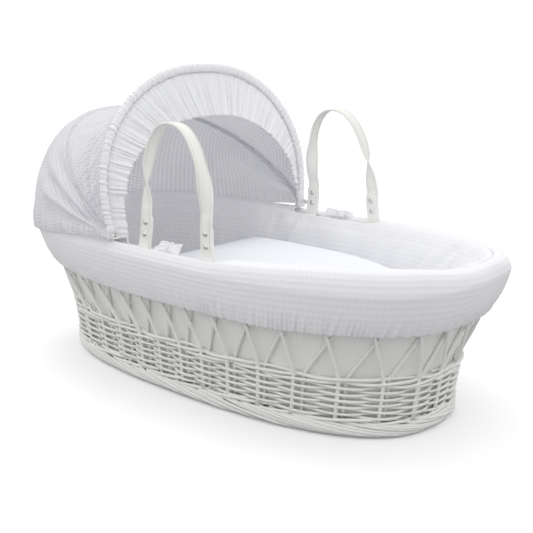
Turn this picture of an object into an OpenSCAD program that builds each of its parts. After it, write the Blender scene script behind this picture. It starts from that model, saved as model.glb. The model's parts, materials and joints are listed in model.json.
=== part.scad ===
// Moses basket: a woven willow cradle with a quilted dressing, two strap handles and a folding hood.
// +X runs to the foot end, -X to the hooded head end, +Z is up. The origin is the centre of the underside.

/* [Woven shell] */
// Length over the rim border
rim_l = 824; // [740:1:1000]
// Width over the rim border
rim_w = 402; // [340:1:490]
// Length over the foot of the basket
foot_l = 716; // [590:1:860]
// Width over the foot of the basket
foot_w = 328; // [270:1:400]
// Length over the top of the closely woven wall
waist_l = 740; // [610:1:890]
// Width over the top of the closely woven wall
waist_w = 346; // [280:1:420]
// Height of the centre of the rim border
rim_z = 216; // [170:1:260]
// Height of the top of the closely woven wall
waist_z = 90; // [70:1:110]
// How far the rim climbs from the middle to each end
rim_rise = 5; // [0:0.5:12]
// Squareness of the foot outline, where 2 is an ellipse
foot_square = 2.55; // [2:0.05:3.5]
// Squareness of the rim outline, where 2 is an ellipse
rim_square = 2.95; // [2:0.05:3.5]
// Thickness of the woven wall
weave_t = 8; // [6:0.5:11]
// Thickness of the woven floor
floor_t = 9; // [7:0.5:14]
// Diameter of a willow rod
rod_d = 4.6; // [3:0.1:5.5]
// Number of rod pairs in the open lattice
rod_pairs = 34; // [20:1:48]
// Height of the woven band under the rim border
band_h = 18; // [12:1:24]
// Diameter of the plaited rim border
border_d = 19; // [14:1:24]

/* [Bedding] */
// Thickness of the padded bumper inside the basket
bumper_t = 17; // [10:1:24]
// How far the quilted skirt stands out from the wall
skirt_out = 11; // [8:0.5:16]
// Thickness of the quilted skirt
skirt_t = 6; // [4:0.5:7]
// Height of the skirt's hem above the floor
skirt_hem_z = 158; // [125:1:175]
// Height of the padding over the rim border
crest_t = 8; // [5:0.5:14]
// Thickness of the mattress
mattress_t = 38; // [25:1:60]
// Thickness of the coverlet
coverlet_t = 9; // [5:0.5:14]
// Height of the top of the coverlet above the floor
coverlet_z = 206; // [150:1:212]
// Distance from the middle of the basket to the coverlet's head edge
coverlet_head = 185; // [120:1:230]

/* [Handles] */
// Distance from the middle of the basket to the middle of the near handle
handle_x = 33; // [10:1:60]
// How much further towards the foot end the far handle is looped on
far_shift = 11; // [0:1:20]
// Distance between the two feet of a handle
handle_span = 132; // [110:1:170]
// Height of a handle above the rim border's centre
handle_h = 198; // [165:1:240]
// How far the top of a handle sits towards the head end
handle_skew = 12; // [0:1:20]
// Inward lean of a resting handle, in degrees
handle_lean = 3.5; // [0:0.5:20]
// Width of the strap
strap_w = 22; // [16:1:30]
// Thickness of the strap
strap_t = 3.2; // [2:0.1:5]
// Diameter of a rivet's cap
rivet_d = 8; // [6:0.5:11]

/* [Hood] */
// Distance from the middle of the basket to the hood's pivots
pivot_x = 77; // [60:1:110]
// Height of the hood's pivots above the rim border's centre
pivot_up = 32; // [30:1:50]
// Distance from the pivots to the top of the front hoop
front_h = 236.5; // [190:0.5:290]
// Distance from the pivots to the top of the rear hoop
rear_h = 288; // [230:1:330]
// Backward tilt of the front hoop, in degrees
front_tilt = 6.6; // [0:0.1:12]
// Backward tilt of the rear hoop, in degrees
rear_tilt = 56; // [50:0.1:60]
// How far the hood is clipped on out of square, in degrees, with its near side towards the head
hood_skew = 5; // [0:0.5:8]
// How far the hoops bow out beyond their feet
hoop_bulge = 12; // [0:1:20]
// How far the roof sags between its hoops
top_sag = 32; // [0:1:40]
// Diameter of the hoop wire
wire_d = 4; // [3:0.5:5]
// Depth of the gathered frill at the top of the hood
frill_top = 78; // [50:1:95]
// Depth of the gathered frill at the sides of the hood
frill_side = 34; // [25:1:60]
// Height of the hood's elasticated hem at the head end
hood_hem_z = 199; // [170:1:210]
// Thickness of the hood's fabric
cloth_t = 2; // [1:0.5:3]

/* [Hidden] */

// Facets of the smooth ovals and of the round rods
sides = 64;
rod_sides = 6;
cord_sides = 6;
// Clearance between fixed neighbours, and of a pin that turns
gap = 0.3;
pin_gap = 0.06;
// An amount that makes two joined shapes share some volume
bite = 1;

willow = "whitesmoke";
cotton = "white";
quilt = "aliceblue";
leather = "ivory";
metal = "silver";

foot_border_h = 14;
foot_border_w = 12;
foot_wale_h = 9;
wale_h = 12;
wale_out = 2;
stick_step = 50;
stick_count = 6;
rod_foot_z = foot_border_h + foot_wale_h;
border_r = border_d / 2;
border_e = -border_r;
band_top = rim_z - border_r - 1;
band_bottom = band_top - band_h;

// ---- Ovals of the woven shell -------------------------------------------------------------------

// Direction from the centre for a turn t that spaces points evenly along the rim
function polar(t) = atan2(sqrt(rim_w) * sin(t), sqrt(rim_l) * cos(t));

// Distance from the centre to a squared oval in direction q
function reach(q, a, b, n) = pow(pow(abs(cos(q)) / a, n) + pow(abs(sin(q)) / b, n), -1 / n);

// Half length, half width and squareness of the wall's outer face at height z
function wall_a(z) = lookup(z, [[0, foot_l / 2], [waist_z, waist_l / 2], [rim_z, rim_l / 2]]);
function wall_b(z) = lookup(z, [[0, foot_w / 2], [waist_z, waist_w / 2], [rim_z, rim_w / 2]]);
function wall_n(z) = lookup(z, [[0, foot_square], [waist_z, foot_square], [rim_z, rim_square]]);

// The rim's climb towards the ends, which fades out down to the waist
function climb(x, z) = rim_rise * pow(2 * x / rim_l, 2) * max(0, min(1, (z - waist_z) / (rim_z - waist_z)));

// A point at turn t, a distance e outside the wall's outer face, at height z
function wall_point(t, e, z) =
  let (q = polar(t), r = reach(q, wall_a(z) + e, wall_b(z) + e, wall_n(z)))
  [r * cos(q), r * sin(q), z + climb(r * cos(q), z)];

// Half width at a distance x from the middle
function wall_y(x, e, z) =
  (wall_b(z) + e) * pow(1 - pow(abs(x) / (wall_a(z) + e), wall_n(z)), 1 / wall_n(z));

function turns(n) = [for (i = [0 : n - 1]) 360 * i / n];
function mix(a, b, k) = a + (b - a) * k;
function ease(k) = let (c = max(0, min(1, k))) c * c * (3 - 2 * c);
function unit(v) = v / norm(v);

// ---- Skins --------------------------------------------------------------------------------------

// Triangles between ring r and ring s of k points
function strip(r, s, k) = [
  for (i = [0 : k - 1])
    let (j = (i + 1) % k)
    each [[r * k + i, s * k + i, s * k + j], [r * k + i, s * k + j, r * k + j]]
];

// A solid skinned over open rings, closed by a flat cap at each end
module skin(rings) {
  k = len(rings[0]);
  last = len(rings) - 1;
  start = [for (i = [1 : k - 2]) [0, i, i + 1]];
  end = [for (i = [1 : k - 2]) [last * k, last * k + i + 1, last * k + i]];
  walls = [for (r = [0 : last - 1]) each strip(r, r + 1, k)];
  polyhedron([for (ring = rings) each ring], concat(start, walls, end), convexity = 6);
}

// A solid skinned over rings that come back to the first
module loop_skin(rings) {
  n = len(rings);
  k = len(rings[0]);
  faces = [for (r = [0 : n - 1]) each strip(r, (r + 1) % n, k)];
  polyhedron([for (ring = rings) each ring], faces, convexity = 6);
}

// A band around the shell: its profile lists [outward, height], from the inner foot up and over
module band(profile) {
  loop_skin([for (t = turns(sides)) [for (p = profile) wall_point(t, p[0], p[1])]]);
}

// A round rope around the shell
module rope(e, z, d, n) {
  band([for (i = [0 : n - 1]) [e - d / 2 * cos(360 * i / n), z + d / 2 * sin(360 * i / n)]]);
}

// A flat oval of the shell, used for the floor
function oval_outline(e, z) = [for (t = turns(sides)) let (p = wall_point(t, e, z)) [p[0], p[1]]];

// A round bar of radius r through the points of a path, whose sections lie across the path
function across(path, i) =
  let (last = len(path) - 1)
  unit(path[min(last, i + 1)] - path[max(0, i - 1)]);

module bar(path, r, n, up) {
  skin([
    for (i = [0 : len(path) - 1])
      let (t = across(path, i), u = unit(cross(up, t)), v = cross(t, u))
      [for (s = [0 : n - 1]) path[i] + r * (u * cos(360 * s / n) + v * sin(360 * s / n))]
  ]);
}

// ---- Woven shell --------------------------------------------------------------------------------

module foot_border() {
  color(willow)
    band([
      [-foot_border_w, 0],
      [-foot_border_w, foot_border_h],
      [-2, foot_border_h],
      [wale_out, foot_border_h - 4],
      [wale_out, 3],
      [0, 0]
    ]);
}

stick_z = floor_t / 2;
stick_lines = [for (i = [-stick_count : stick_count]) i * (foot_l - 2 * stick_step) / (2 * stick_count)];
long_lines = [for (i = [-2 : 2]) i * foot_w / 7];
floor_e = -foot_border_w - gap;

// Half length of a line at distance d from the middle of the floor
function floor_half(d, along, beside) =
  (along + floor_e) * pow(1 - pow(abs(d) / (beside + floor_e), foot_square), 1 / foot_square);

module floor_sticks(d) {
  for (x = stick_lines)
    let (half = floor_half(x, foot_w / 2, foot_l / 2) - 2)
    translate([x, -half, stick_z]) rotate([-90, 0, 0]) cylinder(d = d, h = 2 * half, $fn = 24);
}

module cross_base_sticks() {
  color(willow) floor_sticks(rod_d);
}

module long_base_sticks() {
  color(willow)
    for (y = long_lines)
      let (half = floor_half(y, foot_l / 2, foot_w / 2) - rod_d)
      translate([-half, y, floor_t + rod_d / 2 + gap])
        rotate([0, 90, 0]) cylinder(d = rod_d, h = 2 * half, $fn = 24);
}

module base_weave() {
  color(willow)
    difference() {
      linear_extrude(floor_t) polygon(oval_outline(floor_e, 0));
      floor_sticks(rod_d + 2 * gap);
    }
}

module foot_wale() {
  low = foot_border_h + gap;
  color(willow)
    band([
      [-weave_t - 1, low],
      [-weave_t - 1, low + foot_wale_h - gap],
      [wale_out, low + foot_wale_h - gap],
      [wale_out, low]
    ]);
}

lower_wall_z = [foot_border_h + foot_wale_h + 2 * gap, waist_z - wale_h - gap];

module lower_wall() {
  color(willow)
    band([
      [-weave_t, lower_wall_z[0]],
      [-weave_t, lower_wall_z[1]],
      [0, lower_wall_z[1]],
      [0, lower_wall_z[0]]
    ]);
}

module top_wale() {
  low = waist_z - wale_h;
  color(willow)
    band([
      [-weave_t - wale_out, low],
      [-weave_t - wale_out, waist_z],
      [-1, waist_z],
      [wale_out, waist_z - 3],
      [wale_out, low + 3],
      [-1, low]
    ]);
}

// One lattice rod of a pair: upright in the wall, then leaning by `lean` degrees of turn to the band
rod_heights = [rod_foot_z + 2, waist_z, mix(waist_z, band_bottom, 0.35), mix(waist_z, band_bottom, 0.7),
               band_bottom + band_h / 2];

module lattice(side) {
  pitch = 360 / rod_pairs;
  lean_per_mm = 0.5 * pitch / (0.55 * (rim_z - waist_z));
  depth = -weave_t / 2 - side * (rod_d / 2 + gap);
  color(willow)
    for (t = turns(rod_pairs))
      let (foot = t + side * pitch * 0.09)
      bar([
        for (z = rod_heights)
          wall_point(foot + side * lean_per_mm * max(0, z - waist_z), depth, z)
      ], rod_d / 2, rod_sides, [0, 1, 0.02]);
}

module lattice_left() { lattice(-1); }

module lattice_right() { lattice(1); }

// The strap's loop turns in a notch of the band under the border
loop_in = border_r + 2.1;
loop_out = loop_in + strap_t;
function middle_x(side) = handle_x + (side > 0 ? far_shift : 0);
function foot_x(side, end) = middle_x(side) + end * handle_span / 2;
function core_y(side) =
  (wall_y(foot_x(side, -1), border_e, rim_z) + wall_y(foot_x(side, 1), border_e, rim_z)) / 2;
notch_w = strap_w + 8;
notch_z = rim_z - loop_out - 1;

// Boxes at the four strap feet, from the rim's centre line outward (1), inward (-1) or both ways (0)
module foot_notches(way) {
  depth = 60;
  for (side = [-1, 1])
    for (end = [-1, 1])
      translate([foot_x(side, end), side * (core_y(side) + way * depth / 2), notch_z + 50])
        cube([notch_w, way == 0 ? depth : depth + 2 * loop_out, 100], center = true);
}

module upper_band() {
  color(willow)
    difference() {
      band([[-weave_t, band_bottom], [-weave_t, band_top], [0, band_top], [0, band_bottom]]);
      foot_notches(0);
    }
}

module rim_border() {
  color(willow) rope(border_e, rim_z, border_d, 10);
}

// ---- Bedding ------------------------------------------------------------------------------------

lining_e = -weave_t - wale_out - 1;
lining_t = 1.5;
lining_top = notch_z - 1;
bumper_gap = 2;

module inner_lining() {
  low = foot_border_h + 1;
  color(cotton)
    band([
      [lining_e - lining_t, low],
      [lining_e - lining_t, waist_z],
      [lining_e - lining_t, lining_top],
      [lining_e, lining_top],
      [lining_e, waist_z],
      [lining_e, low]
    ]);
}

bumper_e = lining_e - lining_t - bumper_gap;
bumper_in = bumper_e - bumper_t;
crest_low = rim_z + border_r + 1.5;
crest_z = crest_low + crest_t;
seam_e = border_e - 2.5;
mattress_z = floor_t + rod_d + 2 * gap;
bumper_low = mattress_z + mattress_t + 8;

// Pockets beside the border for the prongs of the hood's clips
pivot_z = rim_z + pivot_up;
prong_t = 2.6;
prong_w = 16;
prong_depth = 28;
prong_e = 2 * border_e - 1.8 - prong_t / 2;
prong_y = wall_y(pivot_x, prong_e, rim_z) / cos(hood_skew);

// Turns a shape drawn straight up from the pivots back by an angle, and out of square by the skew
module hood_frame(tilt) {
  translate([-pivot_x, 0, pivot_z]) rotate([0, 0, -hood_skew]) rotate([0, -tilt, 0]) children();
}

module clip_pockets() {
  hood_frame(0)
    for (side = [-1, 1])
      translate([0, side * prong_y, 0]) cube([prong_w + 1, prong_t + 1.2, 200], center = true);
}

module bumper() {
  shoulder = 2 * border_e - 1.5;
  color(cotton)
    difference() {
      band([
        [bumper_in, bumper_low],
        [bumper_in - 2, waist_z],
        [bumper_in - 3, rim_z - 10],
        [bumper_in, rim_z + 6],
        [bumper_in + 8, crest_z - 4],
        [seam_e - gap - 2, crest_z],
        [seam_e - gap, crest_z - 1],
        [seam_e - gap, crest_low],
        [shoulder + 2, crest_low - 3],
        [shoulder, rim_z],
        [shoulder, notch_z + 2],
        [bumper_e, notch_z - 2],
        [bumper_e, waist_z],
        [bumper_e, bumper_low]
      ]);
      foot_notches(-1);
      clip_pockets();
    }
}

module skirt() {
  color(cotton)
    difference() {
      band([
        [2.4, skirt_hem_z],
        [3, rim_z - 16],
        [1.5, rim_z],
        [-1, rim_z + 7.5],
        [seam_e + 3, crest_low],
        [seam_e, crest_low],
        [seam_e, crest_z],
        [-2, crest_z + 0.5],
        [skirt_out - 6, crest_z - 4],
        [skirt_out - 2, rim_z + 6],
        [skirt_out, rim_z - 11],
        [skirt_out + 1, skirt_hem_z + 26],
        [skirt_out - 2, skirt_hem_z + 10],
        [skirt_out - 4.5, skirt_hem_z]
      ]);
      foot_notches(1);
    }
}

elastic_d = 2.4;

module skirt_elastic() {
  color(cotton) rope(skirt_out - skirt_t / 2 - 3, skirt_hem_z + 4, elastic_d, cord_sides);
}

// An oval inside the bumper at height z, pulled in by e
function bed_ring(e, z) = [for (t = turns(sides)) let (p = wall_point(t, e, min(z, waist_z))) [p[0], p[1], z]];

mattress_e = bumper_in - 2;
ticking_t = 1;
corner = 6;

module mattress() {
  low = mattress_z + ticking_t + gap;
  high = mattress_z + mattress_t - ticking_t - gap;
  inset = mattress_e - ticking_t - gap;
  color("lightyellow")
    skin([
      bed_ring(inset - corner, low),
      bed_ring(inset, low + corner),
      bed_ring(inset, high - corner),
      bed_ring(inset - corner, high)
    ]);
}

// A fitted sheet: over the top, down the sides and turned under by a hem
module mattress_cover() {
  low = mattress_z;
  high = mattress_z + mattress_t;
  t = ticking_t;
  hem = 40;
  color(cotton)
    skin([
      bed_ring(mattress_e - t - corner, high - t),
      bed_ring(mattress_e - t, high - t - corner),
      bed_ring(mattress_e - t, low + t + corner),
      bed_ring(mattress_e - t - corner, low + t),
      bed_ring(mattress_e - hem, low + t),
      bed_ring(mattress_e - hem, low),
      bed_ring(mattress_e - corner, low),
      bed_ring(mattress_e, low + corner),
      bed_ring(mattress_e, high - corner),
      bed_ring(mattress_e - corner, high)
    ]);
}

// The coverlet is a domed quilt: it follows the bumper's oval and is cut straight across at its head edge
coverlet_foot_z = mattress_z + mattress_t + 1;
coverlet_e = bumper_in - 6;
coverlet_x = (wall_a(rim_z) + coverlet_e - coverlet_head) / 2;
dome_square = 2.6;

// A ring of the dome at share k of its height, inside the outer face by the shell thickness t
function dome_ring(k, t) =
  let (
    shrink = pow(1 - pow(k, dome_square), 1 / dome_square),
    z = coverlet_foot_z + k * (coverlet_z - t - coverlet_foot_z)
  )
  [for (u = turns(sides / 2))
    let (p = wall_point(u, coverlet_e - t, z), x = max(p[0], t - coverlet_head))
    [coverlet_x + (x - coverlet_x) * shrink, p[1] * shrink, z]];

dome_steps = [0, 0.45, 0.75, 0.9, 0.97, 0.995];

module coverlet() {
  inner = [for (i = [len(dome_steps) - 1 : -1 : 0]) dome_ring(dome_steps[i], coverlet_t)];
  outer = [for (k = dome_steps) dome_ring(k, 0)];
  color(quilt) skin(concat(inner, outer));
}

// A bow that closes the dressing between the feet of a handle
bow_half = 17;
bow_t = 2.5;

module tie(side) {
  x = middle_x(side) - 8;
  color(cotton)
    translate([x, side * wall_y(x, seam_e, rim_z), crest_z + 1.2])
      linear_extrude(bow_t)
        polygon([
          [-3, -3], [-bow_half, -9], [-bow_half - 2, 0], [-bow_half, 8], [-3, 3],
          [3, 3], [bow_half, 9], [bow_half + 2, 0], [bow_half, -8], [3, -3]
        ]);
}

module near_tie() { tie(-1); }

module far_tie() { tie(1); }

// ---- Handles ------------------------------------------------------------------------------------

// The handle's plane has u along the rim and v up from the rim's centre line
leg_v = 70;
arch_half = handle_span / 2 - 4;
arch_v = handle_h - leg_v;
arch_n = 2.25;
rivet_v = [34, 52];
arch_steps = 22;

// A point of the arch at angle f, from 0 at the foot-end leg to 180 at the head-end leg
function arch_point(f) =
  let (
    c = cos(f),
    v = arch_v * pow(abs(sin(f)), 2 / arch_n),
    u = (c < 0 ? -1 : 1) * arch_half * pow(abs(c), 2 / arch_n)
  )
  [u - handle_skew * v / arch_v, 0, leg_v + v];

// Half the distance between a handle's legs, from the loop at the foot up to the arch
function leg_u(v) = lookup(v, [[26, handle_span / 2 - 1], [44, handle_span / 2 - 3.5], [58, arch_half]]);
leg_heights = [26, 44, 58];
function leg_points(s) = concat(
  [[s * handle_span / 2, 0, loop_out - 1.2]],
  [for (v = leg_heights) [s * leg_u(v), 0, v]]
);

handle_path = concat(
  leg_points(1),
  [for (i = [0 : arch_steps]) arch_point(180 * i / arch_steps)],
  [for (i = [3 : -1 : 0]) leg_points(-1)[i]]
);

// The strap lies flat to the wall at its feet and turns on edge to the arch above them, the two the
// opposite way round
function strap_twist(v) = 90 * ease((v - leg_v - 6) / 70);

// Two layers as far as the end of the return tab, then one
function strap_half(v) = mix(strap_t, strap_t / 2, ease((v - leg_v) / 10));

function strap_section(i, way) =
  let (
    p = handle_path[i],
    t = across(handle_path, i),
    n = unit([t[2], 0, -t[0]]),
    y = [0, 1, 0],
    a = way * strap_twist(p[2]),
    w = (n * cos(a) + y * sin(a)) * strap_w / 2,
    h = (-n * sin(a) + y * cos(a)) * strap_half(p[2])
  )
  [p - w - h, p + w - h, p + w + h, p - w + h];

module handle_frame(side) {
  translate([middle_x(side), side * core_y(side), rim_z]) rotate([side * handle_lean, 0, 0]) children();
}

module strap(side) {
  color(leather)
    handle_frame(side) {
      skin([for (i = [0 : len(handle_path) - 1]) strap_section(i, -side)]);
      for (s = [-1, 1])
        translate([s * handle_span / 2, 0, 0])
          rotate([0, 90, 0])
            difference() {
              cylinder(r = loop_out, h = strap_w, center = true, $fn = 48);
              cylinder(r = loop_in, h = strap_w + 2, center = true, $fn = 48);
            }
    }
}

module near_strap() { strap(-1); }

module far_strap() { strap(1); }

// A tubular rivet with a domed cap on each face of the two strap layers
module rivet() {
  reach_out = strap_t + 0.1;
  cap_h = 1.5;
  rotate([90, 0, 0])
    rotate_extrude($fn = 32)
      polygon([
        [0, -reach_out - cap_h], [rivet_d / 4, -reach_out - cap_h], [rivet_d / 2, -reach_out],
        [rivet_d / 5, -reach_out], [rivet_d / 5, reach_out], [rivet_d / 2, reach_out],
        [rivet_d / 4, reach_out + cap_h], [0, reach_out + cap_h]
      ]);
}

module rivets(side) {
  color(metal)
    handle_frame(side)
      for (s = [-1, 1])
        for (v = rivet_v)
          translate([s * leg_u(v), 0, v]) rivet();
}

module near_rivets() { rivets(-1); }

module far_rivets() { rivets(1); }

// ---- Hood ---------------------------------------------------------------------------------------

pin_r = 2.5;
eye_r = 5.5;
eye_t = 3.6;
ear_t = 1.8;
crest_y = wall_y(pivot_x, 0, rim_z) / cos(hood_skew);
// Distances of the clip's inner ear, the rear eye, the front eye and the outer ear from the middle
ear_in_y = crest_y - 5;
rear_eye_y = ear_in_y + ear_t / 2 + gap + eye_t / 2;
front_eye_y = rear_eye_y + eye_t + gap;
ear_out_y = front_eye_y + eye_t / 2 + gap + ear_t / 2;

// The same turn for a point
function tilted(p, tilt) =
  let (x = p[0] * cos(tilt) - p[2] * sin(tilt))
  [
    x * cos(hood_skew) + p[1] * sin(hood_skew) - pivot_x,
    p[1] * cos(hood_skew) - x * sin(hood_skew),
    p[2] * cos(tilt) + p[0] * sin(tilt) + pivot_z
  ];

module disc_y(y, r, t) {
  translate([0, y, 0]) rotate([90, 0, 0]) cylinder(r = r, h = t, center = true, $fn = 48);
}

module hood_pins() {
  length = ear_out_y - ear_in_y + ear_t + 2;
  color(metal)
    hood_frame(0)
      for (side = [-1, 1]) disc_y(side * (ear_in_y + ear_out_y) / 2, pin_r, length);
}

// A clip whose prong pushes down beside the border and whose ears carry the hood's pin over the crest
module hood_clip(side) {
  bridge_z = crest_z + 1 - pivot_z;
  bridge_t = 2.4;
  prong_low = rim_z - prong_depth - pivot_z;
  bridge_in = prong_y - prong_t / 2;
  bridge_out = ear_out_y + ear_t / 2;
  color(metal)
    hood_frame(0)
      difference() {
        union() {
          translate([-prong_w / 2, side * prong_y - prong_t / 2, prong_low])
            cube([prong_w, prong_t, bridge_z + bridge_t - prong_low]);
          translate([-prong_w / 2, side > 0 ? bridge_in : -bridge_out, bridge_z])
            cube([prong_w, bridge_out - bridge_in, bridge_t]);
          for (y = [ear_in_y, ear_out_y]) {
            translate([-eye_r, side * y - ear_t / 2, bridge_z]) cube([2 * eye_r, ear_t, -bridge_z]);
            disc_y(side * y, eye_r, ear_t);
          }
        }
        disc_y(side * crest_y, pin_r + pin_gap, 60);
      }
}

module near_hood_clip() { hood_clip(-1); }

module far_hood_clip() { hood_clip(1); }

// A hoop's wire as a squared half oval over its own plane, starting just outside the eyes
hoop_square = 2.4;
hoop_steps = 26;
hoop_start = 4;
// Straight wire above each eye, clear of the clip's ears
hoop_stem = 4;

function hoop_point(f, half, h, grow) =
  let (
    k = pow(sin(f), 2 / hoop_square),
    y = (half + grow) * pow(abs(cos(f)), 2 / hoop_square),
    bow = 1 + hoop_bulge / half * 4 * k * (1 - k)
  )
  [0, (cos(f) < 0 ? 1 : -1) * y * bow, (h + grow) * k];

function hoop_angles(first, n) = [for (i = [0 : n]) first + (180 - 2 * first) * i / n];

module hoop(tilt, half, h, eye_y) {
  first = hoop_start;
  foot = hoop_point(first, half, h, 0);
  path = concat(
    [[0, -eye_y, eye_r - 1], [0, -eye_y, eye_r + hoop_stem]],
    [for (f = hoop_angles(first, hoop_steps)) hoop_point(f, half, h, 0)],
    [[0, eye_y, eye_r + hoop_stem], [0, eye_y, eye_r - 1]]
  );
  color(metal)
    hood_frame(tilt)
      difference() {
        union() {
          bar(path, wire_d / 2, 8, [1, 0, 0]);
          for (side = [-1, 1]) disc_y(side * eye_y, eye_r, eye_t);
        }
        for (side = [-1, 1]) disc_y(side * eye_y, pin_r + pin_gap, 3 * eye_t);
      }
}

front_half = front_eye_y;
rear_half = rear_eye_y;

module front_hoop() { hoop(front_tilt, front_half, front_h, front_eye_y); }

module rear_hoop() { hoop(rear_tilt, rear_half, rear_h, rear_eye_y); }

// Angles along the hoops at which the hood's fabric is sampled
cloth_first = 9;
cloth_steps = 22;
cloth_angles = hoop_angles(cloth_first, cloth_steps);
cloth_off = wire_d / 2 + 1.5;
casing_r = 6;

function front_edge(f, grow) = tilted(hoop_point(f, front_half, front_h, casing_r + gap + grow), front_tilt);
function rear_edge(f, grow) = tilted(hoop_point(f, rear_half, rear_h, cloth_off + grow), rear_tilt);

// Turn around the head end for a hoop angle, and the hem's point there
hem_e = skirt_out + 4;
hem_middle = 180 - 0.6 * hood_skew;
hem_reach = 79.5;
function hem_turn(f) = hem_middle + hem_reach * (1 - f / 90);
function hem_point(f, grow) =
  let (side = pow(abs(cos(f)), 3), z = mix(hood_hem_z, crest_z + 4, side))
  wall_point(hem_turn(f), hem_e + grow, z);

// The roof fabric sags between the hoops, towards the bed
bed_centre = [-200, 0, 200];
function sagging(f, a, b, k) =
  let (p = mix(a, b, k), out = unit(p - bed_centre))
  p - out * top_sag * pow(sin(f), 2) * sin(180 * k);

// The back fabric swells out behind the rear hoop, falls outside the crest and tucks under to the hem
back_swell = [-60, 0, 12];
back_push = 13;
back_climb = 66;
function hanging(a, b, upper, lower, k) =
  pow(1 - k, 3) * a + 3 * k * pow(1 - k, 2) * upper + 3 * k * k * (1 - k) * lower + pow(k, 3) * b;

cloth_rows = [0.02, 0.2, 0.4, 0.6, 0.8, 0.98];

// A thin closed sheet: each section runs down its outside and back up its inside
module cloth_sheet(outer, inner) {
  color(cotton)
    skin([
      for (i = [len(outer) - 1 : -1 : 0])
        concat(outer[i], [for (j = [len(inner[i]) - 1 : -1 : 0]) inner[i][j]])
    ]);
}

function top_row(f, grow) =
  [for (k = cloth_rows) sagging(f, front_edge(f, grow), rear_edge(f, grow), k)];
function back_row(f, grow) =
  let (
    s = pow(sin(f), 0.6),
    top = rear_edge(f, grow),
    lower = hem_point(f, grow + back_push * s) + [0, 0, back_climb * s]
  )
  [for (k = cloth_rows) hanging(top, hem_point(f, grow), top + back_swell * s, lower, k)];

module canopy_top() {
  cloth_sheet([for (f = cloth_angles) top_row(f, cloth_t)], [for (f = cloth_angles) top_row(f, 0)]);
}

module canopy_back() {
  cloth_sheet([for (f = cloth_angles) back_row(f, cloth_t)], [for (f = cloth_angles) back_row(f, 0)]);
}

module hood_elastic() {
  color(cotton) bar([for (f = cloth_angles) hem_point(f, cloth_t / 2)], 0.8, cord_sides, [0, 0, 1]);
}

// The frill hangs inward from the front hoop and leans forward
frill_t = 3;
frill_first = 8;
frill_lean = 18;
frill_angles = hoop_angles(frill_first, cloth_steps + 2);

function frill_depth(f) = mix(frill_side, frill_top, pow(sin(f), 0.9));
function frill_section(f) =
  let (
    outer = hoop_point(f, front_half, front_h, -wire_d - 3),
    inner = hoop_point(f, front_half, front_h, -frill_depth(f)),
    drop = inner + [frill_lean, 0, 0]
  )
  [
    tilted(outer + [-frill_t / 2, 0, 0], front_tilt),
    tilted(outer + [frill_t / 2, 0, 0], front_tilt),
    tilted(drop + [frill_t / 2, 0, 0], front_tilt),
    tilted(drop + [-frill_t / 2, 0, 0], front_tilt)
  ];

module frill() {
  color(cotton) skin([for (f = frill_angles) frill_section(f)]);
}

module frill_casing() {
  color(cotton)
    hood_frame(front_tilt)
      bar([for (f = frill_angles) hoop_point(f, front_half, front_h, 0)], casing_r, 8, [1, 0, 0]);
}

// ---- Nodes --------------------------------------------------------------------------------------

foot_border();
cross_base_sticks();
long_base_sticks();
base_weave();
foot_wale();
lower_wall();
top_wale();
lattice_left();
lattice_right();
upper_band();
rim_border();
inner_lining();
mattress();
mattress_cover();
coverlet();
bumper();
skirt();
skirt_elastic();
near_tie();
far_tie();
near_strap();
far_strap();
near_rivets();
far_rivets();
near_hood_clip();
far_hood_clip();
hood_pins();
front_hoop();
rear_hoop();
canopy_top();
canopy_back();
hood_elastic();
frill();
frill_casing();
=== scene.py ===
import json
import math

import bmesh
import bpy
import numpy as np
from mathutils import Matrix, Vector


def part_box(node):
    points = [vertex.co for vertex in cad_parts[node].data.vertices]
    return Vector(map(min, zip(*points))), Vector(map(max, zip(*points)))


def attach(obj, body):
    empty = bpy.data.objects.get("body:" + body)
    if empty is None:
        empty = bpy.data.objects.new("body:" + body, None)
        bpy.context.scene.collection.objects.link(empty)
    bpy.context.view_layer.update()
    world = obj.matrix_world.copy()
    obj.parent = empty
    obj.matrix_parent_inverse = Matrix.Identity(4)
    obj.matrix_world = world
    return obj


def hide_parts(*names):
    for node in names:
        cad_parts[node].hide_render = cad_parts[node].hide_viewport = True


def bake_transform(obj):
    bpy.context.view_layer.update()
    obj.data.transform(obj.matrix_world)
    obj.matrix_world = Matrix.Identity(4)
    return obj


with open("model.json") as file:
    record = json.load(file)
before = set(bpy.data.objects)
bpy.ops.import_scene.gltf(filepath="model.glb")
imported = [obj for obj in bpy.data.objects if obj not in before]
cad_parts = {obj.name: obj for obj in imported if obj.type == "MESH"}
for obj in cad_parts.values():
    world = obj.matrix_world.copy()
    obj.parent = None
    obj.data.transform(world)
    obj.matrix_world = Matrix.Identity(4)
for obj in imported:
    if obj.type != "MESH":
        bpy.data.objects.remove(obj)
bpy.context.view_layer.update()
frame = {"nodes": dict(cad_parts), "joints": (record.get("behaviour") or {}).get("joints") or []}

bl_info = {
    "name": "Moses basket",
    "version": (1, 0, 0),
    "blender": (4, 5, 0),
    "location": "View3D > Sidebar > Moses basket",
    "description": "Builds a willow moses basket with its waffle dressing, handles and folding hood",
    "category": "Add Mesh",
}

MM = 0.001

# ---- Sizes of the woven shell, read from the frame ------------------------------------------------

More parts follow.
